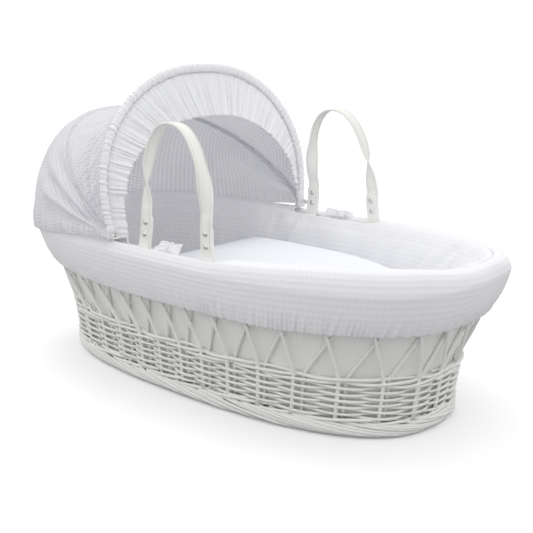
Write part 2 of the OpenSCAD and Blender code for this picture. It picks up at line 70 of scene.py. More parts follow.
FLOOR_EDGE = 12.3 * MM
BORDER_R = 9.5 * MM
FLOOR_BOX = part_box("base_weave")[1]
WALL_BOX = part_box("lower_wall")[1]
RIM_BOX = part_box("rim_border")
WAIST_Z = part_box("top_wale")[1].z
WAIST_SHARE = WAIST_Z / WALL_BOX.z
RIM_Z = RIM_BOX[0].z + BORDER_R
RIM_RISE = RIM_BOX[1].z - RIM_Z - BORDER_R
FOOT_A = FLOOR_BOX.x + FLOOR_EDGE
FOOT_B = FLOOR_BOX.y + FLOOR_EDGE
WALL_Z = (0.0, WAIST_Z, RIM_Z)
WALL_A = (FOOT_A, FOOT_A + (WALL_BOX.x - FOOT_A) * WAIST_SHARE, RIM_BOX[1].x)
WALL_B = (FOOT_B, FOOT_B + (WALL_BOX.y - FOOT_B) * WAIST_SHARE, RIM_BOX[1].y)
WALL_N = (2.55, 2.55, 2.95)
STAKES = 34
JOINTS = {joint["name"]: joint for joint in frame["joints"]}
PIVOT = Vector(JOINTS["hood_rear_fold"]["pos_m"])
HANDLES = {
    -1: Vector(JOINTS["near_handle_swing"]["pos_m"]),
    1: Vector(JOINTS["far_handle_swing"]["pos_m"]),
}
HANDLE_SPAN = 132 * MM
FOLD = Vector(JOINTS["hood_rear_fold"]["axis"])
HOOD_SKEW = math.atan2(-FOLD.x, -FOLD.y)


# ---- Settings that a user would change ------------------------------------------------------------


def length(name, text, default):
    """A length setting in metres."""
    return bpy.props.FloatProperty(name=name, description=text, default=default, unit="LENGTH", precision=4)


def colour(name, text, hexa):
    """A colour setting given as an sRGB hex value."""
    return bpy.props.FloatVectorProperty(
        name=name, description=text, default=linear(hexa), subtype="COLOR", size=3, min=0, max=1
    )


def linear(hexa):
    """Linear red, green and blue of an sRGB hex colour."""
    parts = [int(hexa[i : i + 2], 16) / 255 for i in (1, 3, 5)]
    return tuple(c / 12.92 if c <= 0.04045 else ((c + 0.055) / 1.055) ** 2.4 for c in parts)


class MosesWicker(bpy.types.PropertyGroup):
    """Sizes and colours of the willow shell."""

    rod: length("Rod", "Diameter of a willow rod", 4.6 * MM)
    row: length("Row pitch", "Height of one woven row", 4.9 * MM)
    paint: colour("Paint", "White paint on the rods", "#E6E4E0")
    wear: colour("Wear", "Bare willow where the paint is thin", "#B79F86")


class MosesCloth(bpy.types.PropertyGroup):
    """Sizes and colours of the waffle dressing and bedding."""

    cell: length("Waffle cell", "Distance between the ridges of the waffle weave", 7.5 * MM)
    relief: length("Waffle depth", "Height of the waffle's ridges over its pits", 1.1 * MM)
    fine_cell: length("Quilt cell", "Distance between the ridges of the coverlet's weave", 5.0 * MM)
    ridge: colour("Ridge", "Waffle cotton on its ridges", "#EDEDF1")
    # The pit colour is painted shade: a darker, cooler tone laid in the waffle's pits where shade falls
    shaded_pit: colour("Pit", "Waffle cotton in its pits", "#A6A6B6")
    lining: colour("Lining", "Plain lining cloth behind the lattice", "#CBC8C1")
    quilt: colour("Coverlet", "Pale cotton of the coverlet", "#E4E8F0")


class MosesHandles(bpy.types.PropertyGroup):
    """Sizes and colours of the strap handles."""

    width: length("Strap width", "Width of the strap", 22 * MM)
    thickness: length("Strap thickness", "Thickness of one layer of the strap", 3.2 * MM)
    stitch: length("Stitch pitch", "Distance between two stitches", 4 * MM)
    leather: colour("Strap", "Cream leatherette of the straps", "#D8DACE")
    thread: colour("Thread", "Sewing thread of the straps", "#D3DCC6")


class MosesHood(bpy.types.PropertyGroup):
    """Sizes of the folding hood."""

    front_height: length("Front hoop", "Distance from the pivots to the top of the front hoop", 236.5 * MM)
    rear_height: length("Rear hoop", "Distance from the pivots to the top of the rear hoop", 288 * MM)
    pleats: bpy.props.IntProperty(name="Pleats", description="Pleats in the frill", default=86)
    casing: length("Casing", "Half width of the gathered casing round the front hoop", 6.5 * MM)


# ---- Shapes ---------------------------------------------------------------------------------------


def oval(turn, out, z):
    """Points of the shell at a turn, a distance outside the wall's outer face, and a height."""
    q = np.arctan2(math.sqrt(WALL_B[2]) * np.sin(turn), math.sqrt(WALL_A[2]) * np.cos(turn))
    a = np.interp(z, WALL_Z, WALL_A) + out
    b = np.interp(z, WALL_Z, WALL_B) + out
    n = np.interp(z, WALL_Z, WALL_N)
    r = ((np.abs(np.cos(q)) / a) ** n + (np.abs(np.sin(q)) / b) ** n) ** (-1 / n)
    x = r * np.cos(q)
    rise = RIM_RISE * (x / WALL_A[2]) ** 2 * np.clip((z - WAIST_Z) / (RIM_Z - WAIST_Z), 0, 1)
    x, y, up = np.broadcast_arrays(x, r * np.sin(q), z + rise)
    return np.stack((x, y, up), axis=-1)


def even_turns(count, out, z):
    """Turns spaced evenly round the shell, first and last the same place, and the length round."""
    turn = np.linspace(0, 2 * np.pi, 4001)
    run = path_length(oval(turn, out, z))
    return np.interp(np.linspace(0, run[-1], count + 1), run, turn), run[-1]


def path_length(points):
    """Distance along a path at each of its points."""
    steps = np.linalg.norm(np.diff(points, axis=0), axis=1)
    return np.concatenate(([0.0], np.cumsum(steps)))


def smooth_path(points, count):
    """A smooth path of evenly spaced points through a few given ones."""
    p = np.array(points, float)
    ends = np.concatenate(([2 * p[0] - p[1]], p, [2 * p[-1] - p[-2]]))
    s = np.linspace(0, 1, 24, endpoint=False)[:, None]
    parts = []
    for a, b, c, d in zip(ends, ends[1:], ends[2:], ends[3:]):
        bend = (3 * b - a - 3 * c + d) * s**3 + (2 * a - 5 * b + 4 * c - d) * s**2
        parts.append(0.5 * (2 * b + (c - a) * s + bend))
    line = np.concatenate(parts + [p[-1:]])
    run = path_length(line)
    at = np.linspace(0, run[-1], count)
    return np.stack([np.interp(at, run, line[:, i]) for i in range(line.shape[1])], axis=-1)


def ease(share):
    """A smooth step from 0 to 1."""
    share = np.clip(share, 0, 1)
    return share * share * (3 - 2 * share)


def hump(value, low, high, soft):
    """1 between low and high, falling smoothly to 0 over a distance on each side."""
    return ease((value - low) / soft + 0.5) * ease((high - value) / soft + 0.5)


def drift(s, wave, seed, closed=0.0):
    """A smooth random wander along s of about -1 to 1, whose humps are about a wave apart."""
    rng = np.random.default_rng(seed)
    total = 0.0
    for _ in range(5):
        cycles = rng.uniform(0.65, 1.45) / wave
        if closed:
            cycles = round(cycles * closed) / closed
        total = total + np.sin(2 * np.pi * (cycles * s + rng.random()))
    return total / 2.4


def waffle_relief(u, v, cell):
    """Relief of a waffle weave, 1 on its ridges and 0 in its pits."""
    across = 0.5 + 0.5 * np.cos(2 * np.pi * u / cell)
    along = 0.5 + 0.5 * np.cos(2 * np.pi * v / cell)
    return 1 - (1 - across) * (1 - along)


def face_normals(points, centre):
    """Unit normals of a grid of points, turned away from a centre."""
    rows, cols = np.gradient(points, axis=0), np.gradient(points, axis=1)
    normal = np.cross(rows, cols)
    normal /= np.maximum(np.linalg.norm(normal, axis=-1, keepdims=True), 1e-12)
    away = np.sum(normal * (points - np.array(centre)), axis=-1, keepdims=True)
    return normal * np.where(away < 0, -1, 1)


# ---- Meshes ---------------------------------------------------------------------------------------


def grid_mesh(name, points, uv, gaps=(), turn_out=True):
    """A mesh through rows of points, whose meeting edges are joined, with no faces after the rows in gaps."""
    rows, cols = points.shape[:2]
    bm = bmesh.new()
    bmesh.ops.create_grid(bm, x_segments=cols - 1, y_segments=rows - 1, size=1)
    mesh = bpy.data.meshes.new(name)
    bm.to_mesh(mesh)
    flat = np.empty(len(mesh.vertices) * 3)
    mesh.vertices.foreach_get("co", flat)
    flat = flat.reshape(-1, 3)
    col = np.rint((flat[:, 0] + 1) / 2 * (cols - 1)).astype(int)
    row = np.rint((flat[:, 1] + 1) / 2 * (rows - 1)).astype(int)
    corner = np.empty(len(mesh.loops), int)
    mesh.loops.foreach_get("vertex_index", corner)
    mesh.vertices.foreach_set("co", points[row, col].ravel())
    layer = mesh.uv_layers.new(name="UVMap")
    layer.data.foreach_set("uv", uv[row, col][corner].ravel())
    bm.clear()
    bm.from_mesh(mesh)
    if len(gaps):
        lost = set(int(g) for g in gaps)
        faces = [f for f in bm.faces if min(row[v.index] for v in f.verts) in lost]
        bmesh.ops.delete(bm, geom=faces, context="FACES")
    bmesh.ops.remove_doubles(bm, verts=bm.verts, dist=2e-6)
    if turn_out:
        bmesh.ops.recalc_face_normals(bm, faces=bm.faces)
    for face in bm.faces:
        face.smooth = True
    bm.to_mesh(mesh)
    bm.free()
    return mesh


def tube_rings(path, radius, sides, beside, flat=1.0):
    """Rings of points round a path, closed to a point at both ends; `beside` is a direction across it."""
    tangent = np.gradient(path, axis=0)
    tangent /= np.linalg.norm(tangent, axis=1, keepdims=True)
    wide = np.cross(np.broadcast_to(beside, path.shape), tangent)
    wide /= np.linalg.norm(wide, axis=1, keepdims=True)
    high = np.cross(tangent, wide)
    angle = np.linspace(0, 2 * np.pi, sides + 1)
    r = np.broadcast_to(radius, len(path))[:, None, None]
    ring = wide[:, None] * np.cos(angle)[:, None] * flat + high[:, None] * np.sin(angle)[:, None]
    rings = path[:, None] + r * ring
    first = np.broadcast_to(path[:1, None], (1, sides + 1, 3))
    last = np.broadcast_to(path[-1:, None], (1, sides + 1, 3))
    return np.concatenate((first, rings, last))


def rods_mesh(name, rods, sides=6):
    """One mesh of many separate rods, each a (path, radius, direction across it) of its own."""
    points, uvs, gaps = [], [], []
    count = 0
    for number, (path, radius, beside) in enumerate(rods):
        rings = tube_rings(path, radius, sides, beside)
        run = path_length(path)
        along = np.concatenate(([run[0]], run, [run[-1]])) + 0.37 * number
        around = np.linspace(0, 2 * np.pi * float(np.mean(radius)), sides + 1)
        uvs.append(np.stack(np.meshgrid(along, around, indexing="ij"), axis=-1))
        points.append(rings)
        count += len(rings)
        gaps.append(count - 1)
    return grid_mesh(name, np.concatenate(points), np.concatenate(uvs), gaps[:-1])


def add_piece(name, mesh, finish, body, nodes=()):
    """Puts a finished mesh in the scene, gives it its finish and lets it ride on a body of the frame."""
    piece = bpy.data.objects.new(name, mesh)
    bpy.context.scene.collection.objects.link(piece)
    mesh.materials.append(finish)
    if nodes:
        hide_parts(*nodes)
    if body:
        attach(piece, body)
    return piece


def thicken(piece, thickness, offset=0.0):
    """Gives a sheet its thickness."""
    solid = piece.modifiers.new("Thickness", "SOLIDIFY")
    solid.thickness = thickness
    solid.offset = offset
    return piece


# ---- Finishes -------------------------------------------------------------------------------------


def add_node(tree, kind, inputs, **settings):
    """Adds a shader node; an input given as a socket is linked, and any other is set."""
    made = tree.nodes.new(kind)
    for key, value in settings.items():
        setattr(made, key, value)
    for key, value in inputs.items():
        if isinstance(value, bpy.types.NodeSocket):
            tree.links.new(value, made.inputs[key])
        else:
            made.inputs[key].default_value = value
    return made


def new_finish(name):
    """An empty material and its shader, or None for the shader if the material is already made."""
    made = bpy.data.materials.get(name)
    if made:
        return made, None, None
    made = bpy.data.materials.new(name)
    made.use_nodes = True
    tree = made.node_tree
    shader = next(n for n in tree.nodes if n.type == "BSDF_PRINCIPLED")
    return made, tree, shader


def rgba(values):
    """A colour with full alpha."""
    return (*values, 1.0)


def math_of(tree, operation, first, second=0.0):
    """The result of one sum."""
    return add_node(tree, "ShaderNodeMath", {0: first, 1: second}, operation=operation).outputs[0]


def weave_relief(tree, vector, cell):
    """Height of a waffle weave over a vector in metres: 1 on the ridges and 0 in the pits."""
    parts = add_node(tree, "ShaderNodeSeparateXYZ", {"Vector": vector})
    sunk = []
    for axis in ("X", "Y"):
        wave = math_of(tree, "COSINE", math_of(tree, "MULTIPLY", parts.outputs[axis], 2 * math.pi / cell))
        sunk.append(math_of(tree, "MULTIPLY", math_of(tree, "SUBTRACT", 1.0, wave), 0.5))
    # The pit's depth sets both the bump and where painted shade darkens the cloth
    shaded_pit = math_of(tree, "POWER", math_of(tree, "MULTIPLY", sunk[0], sunk[1]), 0.65)
    return math_of(tree, "SUBTRACT", 1.0, shaded_pit)


def waffle_finish(name, cell, ridge, shaded_pit, surface="UV", depth=0.9, glow=0.0):
    """Waffle-weave cotton: matt, with soft square pits darkened by a cool painted shade, and a fine thread
    grain.
    """
    made, tree, shader = new_finish(name)
    if not tree:
        return made
    place = add_node(tree, "ShaderNodeTexCoord", {}).outputs[surface]
    relief = weave_relief(tree, place, cell)
    # Cotton threads of about 0.6 mm, drawn at 1.2 mm so that they show
    thread = add_node(tree, "ShaderNodeTexNoise", {"Vector": place, "Scale": 1 / (1.2 * MM), "Detail": 2.0})
    patch = add_node(tree, "ShaderNodeTexNoise", {"Vector": place, "Scale": 1 / (60 * MM), "Detail": 2.0})
    # Painted shade: the pits are mixed towards the darker pit colour, with random patches of real tone
    # variation mixed in
    share = math_of(tree, "ADD", relief, math_of(tree, "MULTIPLY", patch.outputs["Fac"], 0.25))
    share = math_of(tree, "SUBTRACT", share, 0.12)
    tones = {"Factor": share, "A": rgba(shaded_pit), "B": rgba(ridge)}
    tint = add_node(tree, "ShaderNodeMix", tones, data_type="RGBA")
    tree.links.new(colour_out(tint), shader.inputs["Base Color"])
    height = math_of(tree, "ADD", relief, math_of(tree, "MULTIPLY", thread.outputs["Fac"], 0.22))
    bump = add_node(tree, "ShaderNodeBump", {"Height": height, "Strength": 0.8, "Distance": depth * MM})
    tree.links.new(bump.outputs["Normal"], shader.inputs["Normal"])
    shader.inputs["Roughness"].default_value = 0.9
    shader.inputs["Specular IOR Level"].default_value = 0.2
    if glow:
        let_light_through(tree, shader, colour_out(tint), glow)
    return made


def let_light_through(tree, shader, tint, share):
    """Lets a share of the light pass through a single layer of cloth."""
    out = next(n for n in tree.nodes if n.type == "OUTPUT_MATERIAL")
    through = add_node(tree, "ShaderNodeBsdfTranslucent", {"Color": tint})
    both = add_node(tree, "ShaderNodeMixShader", {0: share, 1: shader.outputs[0], 2: through.outputs[0]})
    tree.links.new(both.outputs[0], out.inputs["Surface"])


def colour_out(mix):
    """The colour output of a mix node."""
    return next(s for s in mix.outputs if s.type == "RGBA")


def plain_cloth_finish(name, base, shade):
    """Plain-weave cotton: matt and smooth, with a thread grain and faint clouds of tone."""
    made, tree, shader = new_finish(name)
    if not tree:
        return made
    place = add_node(tree, "ShaderNodeTexCoord", {}).outputs["Object"]
    cloud = add_node(tree, "ShaderNodeTexNoise", {"Vector": place, "Scale": 1 / (70 * MM), "Detail": 3.0})
    # Threads of 0.4 mm, drawn at 1 mm so that they show
    thread = add_node(tree, "ShaderNodeTexNoise", {"Vector": place, "Scale": 1 / (1.0 * MM), "Detail": 1.0})
    tint = add_node(
        tree, "ShaderNodeMix", {"Factor": cloud.outputs["Fac"], "A": rgba(shade), "B": rgba(base)},
        data_type="RGBA",
    )
    tree.links.new(colour_out(tint), shader.inputs["Base Color"])
    bump = add_node(
        tree, "ShaderNodeBump", {"Height": thread.outputs["Fac"], "Strength": 0.4, "Distance": 0.3 * MM}
    )
    tree.links.new(bump.outputs["Normal"], shader.inputs["Normal"])
    shader.inputs["Roughness"].default_value = 0.92
    shader.inputs["Sheen Weight"].default_value = 0.15
    return made


def painted_willow_finish(sizes):
    """Willow rods in white emulsion: satin, with the bark's streaks and bare spots of wear."""
    made, tree, shader = new_finish("painted_willow")
    if not tree:
        return made
    place = add_node(tree, "ShaderNodeTexCoord", {})
    stretched = add_node(
        tree, "ShaderNodeMapping", {"Vector": place.outputs["Object"], "Scale": (1.0, 1.0, 1.0)}
    )
    streak = add_node(
        tree, "ShaderNodeTexNoise", {"Vector": stretched.outputs[0], "Scale": 1 / (5 * MM), "Detail": 3.0}
    )
    spot = add_node(
        tree, "ShaderNodeTexNoise", {"Vector": place.outputs["Object"], "Scale": 1 / (14 * MM), "Detail": 4.0}
    )
    worn = add_node(
        tree,
        "ShaderNodeMapRange",
        {"Value": spot.outputs["Fac"], "From Min": 0.67, "From Max": 0.76, "To Min": 0.0, "To Max": 0.75},
    )
    cloud = add_node(
        tree, "ShaderNodeTexNoise", {"Vector": place.outputs["Object"], "Scale": 1 / (40 * MM), "Detail": 2.0}
    )
    paint = add_node(
        tree,
        "ShaderNodeMix",
        {"Factor": cloud.outputs["Fac"], "A": rgba(linear("#D3D0CA")), "B": rgba(sizes.paint)},
        data_type="RGBA",
    )
    tint = add_node(
        tree,
        "ShaderNodeMix",
        {"Factor": worn.outputs[0], "A": colour_out(paint), "B": rgba(sizes.wear)},
        data_type="RGBA",
    )
    tree.links.new(colour_out(tint), shader.inputs["Base Color"])
    bump = add_node(
        tree, "ShaderNodeBump", {"Height": streak.outputs["Fac"], "Strength": 0.5, "Distance": 0.5 * MM}
    )
    tree.links.new(bump.outputs["Normal"], shader.inputs["Normal"])
    shader.inputs["Roughness"].default_value = 0.48
    return made


def leatherette_finish(sizes):
    """Embossed leatherette: satin vinyl with a fine pebble grain."""
    made, tree, shader = new_finish("strap_leather")
    if not tree:
        return made
    place = add_node(tree, "ShaderNodeTexCoord", {}).outputs["Object"]
    pebble = add_node(tree, "ShaderNodeTexVoronoi", {"Vector": place, "Scale": 1 / (1.1 * MM)})
    cloud = add_node(tree, "ShaderNodeTexNoise", {"Vector": place, "Scale": 1 / (30 * MM), "Detail": 2.0})
    tint = add_node(
        tree,
        "ShaderNodeMix",
        {"Factor": cloud.outputs["Fac"], "A": rgba(linear("#D2D5C6")), "B": rgba(sizes.leather)},
        data_type="RGBA",
    )
    tree.links.new(colour_out(tint), shader.inputs["Base Color"])
    bump = add_node(
        tree, "ShaderNodeBump",
        {"Height": pebble.outputs["Distance"], "Strength": 0.25, "Distance": 0.25 * MM},
    )
    tree.links.new(bump.outputs["Normal"], shader.inputs["Normal"])
    shader.inputs["Roughness"].default_value = 0.42
    return made


def nickel_finish():
    """Nickel plate over brass: a bright, slightly warm mirror with faint polishing haze."""
    made, tree, shader = new_finish("rivet_nickel")
    if not tree:
        return made
    place = add_node(tree, "ShaderNodeTexCoord", {}).outputs["Object"]
    haze = add_node(tree, "ShaderNodeTexNoise", {"Vector": place, "Scale": 1 / (2 * MM), "Detail": 3.0})
    rough = add_node(
        tree, "ShaderNodeMapRange", {"Value": haze.outputs["Fac"], "To Min": 0.12, "To Max": 0.3}
    )
    tree.links.new(rough.outputs[0], shader.inputs["Roughness"])
    shader.inputs["Base Color"].default_value = rgba(linear("#BDB6AE"))
    shader.inputs["Metallic"].default_value = 1.0
    return made


def plain_finish(name, hexa, roughness, grain, depth):
    """A coated or moulded white surface with the faint skin texture of its process."""
    made, tree, shader = new_finish(name)
    if not tree:
        return made
    place = add_node(tree, "ShaderNodeTexCoord", {}).outputs["Object"]
    skin = add_node(tree, "ShaderNodeTexNoise", {"Vector": place, "Scale": 1 / grain, "Detail": 2.0})
    relief = {"Height": skin.outputs["Fac"], "Strength": 0.4, "Distance": depth}
    bump = add_node(tree, "ShaderNodeBump", relief)
    tree.links.new(bump.outputs["Normal"], shader.inputs["Normal"])
    shader.inputs["Base Color"].default_value = rgba(linear(hexa))
    shader.inputs["Roughness"].default_value = roughness
    return made


def dress_cad(node, finish):
    """Gives a CAD node that stays in view its finish."""
    mesh = frame["nodes"][node].data
    mesh.materials.clear()
    mesh.materials.append(finish)


# ---- Willow ---------------------------------------------------------------------------------------

STAKE_OUT = -4 * MM


def broken_rows(stakes_long, rng):
    """Starts and lengths, in stakes, of the rods that make one row."""
    at = int(rng.integers(0, 4))
    spans = []
    while at < STAKES:
        span = min(int(rng.integers(stakes_long[0], stakes_long[1])), STAKES - at)
        spans.append((at, max(span, 2)))
        at += max(span, 2)
    first = spans[0][0]
    if first:
        spans.append((0, first))
    return spans


def randing(name, low, high, pitch, rod, seed):
    """Rows of single rods, each in front of one stake pair and behind the next."""
    rng = np.random.default_rng(seed)
    rods = []
    rows = max(1, round((high - low) / pitch))
    for row in range(rows):
        z0 = low + (row + 0.5) * (high - low) / rows
        for start, span in broken_rows((5, 13), rng):
            stake = np.linspace(start - 0.3, start + span + 0.3, (span + 1) * 11)
            turn = stake_turns(stake)
            swing = np.cos(np.pi * (stake + row))
            # A rod comes forward and goes back quickly, and lies flat between
            swing = np.sign(swing) * np.abs(swing) ** 0.7
            r = rod / 2 * rng.uniform(0.82, 1.12)
            taper = 1 - 0.25 * np.abs(np.linspace(-1, 1, len(stake))) ** 3
            out = STAKE_OUT + swing * (rod * 0.98) + 0.5 * MM * drift(stake, 3, rng.integers(1e6))
            z = z0 + 0.55 * MM * drift(stake, 2.2, rng.integers(1e6))
            rods.append((oval(turn, out, z), r * taper, (0, 0, 1)))
    return rods_mesh(name, rods)


def stake_turns(stake):
    """Turns of the shell at stake numbers that may be fractions."""
    return 2 * np.pi * stake / STAKES


def waling(name, levels, reach, rod, seed, slant=2.4):
    """Strands that each pass in front of two stake pairs and behind one."""
    rng = np.random.default_rng(seed)
    rods = []
    for number, z0 in enumerate(levels):
        for start, span in broken_rows((7, 15), rng):
            stake = np.linspace(start - 0.45, start + span + 0.45, (span + 1) * 10)
            turn = stake_turns(stake)
            phase = 2 * np.pi * (stake + number * 1.0) / reach
            swing = np.clip(1.5 * np.cos(phase) + 0.55, -1, 1)
            r = rod / 2 * rng.uniform(0.9, 1.12)
            out = STAKE_OUT + swing * rod * 1.05 + 0.4 * MM * drift(stake, 3, rng.integers(1e6))
            z = z0 + slant * MM * np.sin(phase) + 0.5 * MM * drift(stake, 2.6, rng.integers(1e6))
            rods.append((oval(turn, out, z), np.full(len(stake), r), (0, 0, 1)))
    return rods_mesh(name, rods)


def foot_plait(name, rod, seed):
    """The foot border: each stake is bent down outside the next ones and tucked under."""
    rng = np.random.default_rng(seed)
    rods = []
    shape = (
        (-0.15, -5.0, 24.0), (0.25, 1.0, 21.0), (0.9, 2.6, 16.0), (1.7, 3.0, 10.5),
        (2.5, 2.2, 6.0), (3.1, -2.0, 3.6), (3.6, -8.0, 3.4),
    )
    for stake in range(2 * STAKES):
        nudge = rng.uniform(-0.12, 0.12)
        line = smooth_path(shape, 16)
        turn = 2 * np.pi * (stake / 2 + line[:, 0] + nudge) / STAKES
        lift = rng.uniform(-0.7, 0.7)
        out = (line[:, 1] + rng.uniform(-0.6, 0.6)) * MM
        z = np.maximum((line[:, 2] + lift) * MM, rod / 2 + 0.2 * MM)
        rods.append((oval(turn, out, z), rod / 2 * rng.uniform(0.9, 1.08), (0, 0, 1)))
    return rods_mesh(name, rods)


# Distance between the feet of a pair of lattice rods, in stake pitches
PAIR_GAP = 0.26


def lattice_rods(name, side, rod, seed):
    """Half of the open lattice: rods that stand in the wall and lean one way above it."""
    rng = np.random.default_rng(seed)
    pitch = 2 * np.pi / STAKES
    lean = 0.5 * pitch / (0.55 * (RIM_Z - WAIST_Z))
    depth = STAKE_OUT - side * (rod / 2 + 0.3 * MM)
    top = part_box("upper_band")[1].z - 8 * MM
    rods = []
    for stake in range(STAKES):
        z = np.linspace(25 * MM, top, 15)
        above = np.maximum(0, z - WAIST_Z + 4 * MM)
        bow = rng.uniform(-0.05, 0.05) * np.sin(np.pi * np.clip(above / (top - WAIST_Z), 0, 1))
        foot = (stake + side * PAIR_GAP / 2 + rng.uniform(-0.035, 0.035)) * pitch
        turn = foot + side * lean * above * rng.uniform(0.93, 1.07) + bow * pitch
        path = oval(turn, depth, z)
        middle = path[7] * (1, 1, 0)
        r = rod / 2 * rng.uniform(0.88, 1.1) * np.linspace(1.06, 0.92, len(z))
        rods.append((path, r, tuple(middle / np.linalg.norm(middle))))
    return rods_mesh(name, rods, 8)


def border_rope(name, strands, rod):
    """The rim border: strands laid round the rim's core like a rope."""
    rods = []
    rng = np.random.default_rng(41)
    turns, long = even_turns(420, -BORDER_R, RIM_Z)
    for strand in range(strands):
        wind = 2 * np.pi * (strand / strands + np.linspace(0, round(long / (150 * MM)), len(turns)))
        away = BORDER_R - rod / 2
        out = -BORDER_R + away * np.cos(wind)
        z = RIM_Z + away * np.sin(wind)
        path = oval(turns, out, z)
        rods.append((path, rod / 2 * rng.uniform(0.95, 1.05), (0, 0, 1)))
    return rods_mesh(name, rods)


def floor_weave(name, rod):
    """The woven floor: rows along the basket, over one cross stick and under the next."""
    rods = []
    rng = np.random.default_rng(43)
    rows = int(2 * FLOOR_BOX.y / (rod * 1.05))
    step = (2 * FLOOR_BOX.x - 88 * MM) / 12
    for row in range(rows):
        y = -FLOOR_BOX.y + (row + 0.5) * 2 * FLOOR_BOX.y / rows
        half = FLOOR_BOX.x * (1 - min(1, abs(y) / FLOOR_BOX.y) ** WALL_N[0]) ** (1 / WALL_N[0])
        x = np.linspace(-half, half, 97)
        z = 4.6 * MM + 2.1 * MM * np.cos(np.pi * (x / step + row))
        path = np.stack((x, np.full_like(x, y), z), axis=-1)
        rods.append((path, rod / 2 * rng.uniform(0.9, 1.02) * 0.96, (0, 0, 1)))
    return rods_mesh(name, rods)


class MOSES_OT_floor(bpy.types.Operator):
    """Weaves the floor and the foot border."""

    bl_idname = "moses.floor"
    bl_label = "Floor"

    def execute(self, context):
        sizes = context.scene.moses_wicker
        paint = painted_willow_finish(sizes)
        mesh = floor_weave("floor_rods", sizes.rod * 0.95)
        add_piece("floor_rods", mesh, paint, "basket", ["base_weave"])
        mesh = foot_plait("foot_plait", sizes.rod * 1.12, 11)
        add_piece("foot_plait", mesh, paint, "basket", ["foot_border"])
        for node in ("cross_base_sticks", "long_base_sticks"):
            dress_cad(node, paint)
        return {"FINISHED"}


class MOSES_OT_wall(bpy.types.Operator):
    """Weaves the close wall and its two wales."""

    bl_idname = "moses.wall"
    bl_label = "Wall"

    def execute(self, context):
        sizes = context.scene.moses_wicker
        paint = painted_willow_finish(sizes)
        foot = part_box("foot_wale")
        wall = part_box("lower_wall")
        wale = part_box("top_wale")
        levels = [foot[0].z + 4.5 * MM, foot[0].z + 8.5 * MM, foot[0].z + 12 * MM]
        mesh = waling("foot_waling", levels, 3, sizes.rod * 1.1, 21)
        add_piece("foot_waling", mesh, paint, "basket", ["foot_wale"])
        mesh = randing("wall_randing", wall[0].z + 4 * MM, wall[1].z - 1 * MM, sizes.row, sizes.rod, 22)
        add_piece("wall_randing", mesh, paint, "basket", ["lower_wall"])
        levels = [wale[0].z + 1.5 * MM, wale[0].z + 5.5 * MM, wale[0].z + 9.5 * MM]
        mesh = waling("top_waling", levels, 3, sizes.rod * 1.05, 23, 1.6)
        add_piece("top_waling", mesh, paint, "basket", ["top_wale"])
        return {"FINISHED"}


class MOSES_OT_lattice(bpy.types.Operator):
    """Stands the open lattice's rods in the wall."""

    bl_idname = "moses.lattice"
    bl_label = "Lattice"

    def execute(self, context):
        sizes = context.scene.moses_wicker
        paint = painted_willow_finish(sizes)
        for side, word, seed in ((-1, "left", 31), (1, "right", 32)):
            mesh = lattice_rods("lattice_rods_" + word, side, sizes.rod * 1.25, seed)
            add_piece("lattice_rods_" + word, mesh, paint, "basket", ["lattice_" + word])
        return {"FINISHED"}


class MOSES_OT_rim(bpy.types.Operator):
    """Weaves the band under the rim and lays the rim border."""

    bl_idname = "moses.rim"
    bl_label = "Rim"

    def execute(self, context):
        sizes = context.scene.moses_wicker
        paint = painted_willow_finish(sizes)
        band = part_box("upper_band")
        mesh = randing("band_randing", band[0].z, band[0].z + 17 * MM, sizes.row, sizes.rod * 0.85, 24)
        add_piece("band_randing", mesh, paint, "basket", ["upper_band"])
        mesh = border_rope("rim_rope", 8, 6.6 * MM)
        add_piece("rim_rope", mesh, paint, "basket", ["rim_border"])
        return {"FINISHED"}


# ---- Bedding --------------------------------------------------------------------------------------

BUMPER_IN = -31.5 * MM
CREST_Z = 235 * MM


def slot_share(points):
    """How fully the dressing opens into the slot that each handle comes out of."""
    near = hump(points[..., 0], -100 * MM, 128 * MM, 36 * MM) * (points[..., 1] < 0)
    far = hump(points[..., 0], -62 * MM, 118 * MM, 30 * MM) * (points[..., 1] > 0)
    return near + 0.7 * far


def ring_sheet(profile, rows):
    """Outward distances, heights and outward directions of a section repeated round the shell."""
    line = smooth_path(np.array(profile) * MM, rows)
    slope = np.gradient(line, axis=0)
    slope /= np.linalg.norm(slope, axis=1, keepdims=True)
    normal = np.stack((slope[:, 1], -slope[:, 0]), axis=-1)
    return line, normal, path_length(line)


def lining_sheet(name):
    """The plain lining cloth inside the lattice, with faint upright ripples."""
    low, high = 18 * MM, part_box("inner_lining")[1].z - 6 * MM
    turns, long = even_turns(720, -11 * MM, 0.5 * (low + high))
    z = np.linspace(low, high, 26)[:, None]
    run = np.linspace(0, long, len(turns))[None, :]
    free = ease((z - WAIST_Z) / (20 * MM)) * ease((high - z) / (20 * MM) + 0.2)
    ripple = 0.55 * drift(run, 55 * MM, 51, long) + 0.35 * drift(run + 0.35 * z, 23 * MM, 52, long)
    out = -11.2 * MM + 1.0 * MM * ripple * (0.25 + free)
    points = oval(turns[None, :], out, z)
    uv = np.stack(np.broadcast_arrays(run, z), axis=-1)
    return grid_mesh(name, points, uv, turn_out=True), (long, high - low)


def bed_pad(name, low, high, edge, crown, corner, cols=240):
    """A flat pad in the basket's oval, crowned on top and rounded at its edge."""
    section = smooth_path(
        [(0.0, high + crown), (0.4, high + crown * 0.9), (0.8, high + crown * 0.35),
         (0.94, high - corner * 0.35), (1.0, (low + high) / 2), (0.94, low + corner * 0.35),
         (0.8, low), (0.4, low), (0.0, low)], 44)
    turns, _ = even_turns(cols, edge, WAIST_Z)
    rim = oval(turns, edge, np.full_like(turns, WAIST_Z))[:, :2]
    points = np.empty((len(section), len(turns), 3))
    points[..., :2] = section[:, None, :1] * rim[None]
    points[..., 2] = section[:, None, 1]
    uv = np.stack((points[..., 0], points[..., 1]), axis=-1)
    return grid_mesh(name, points, uv)


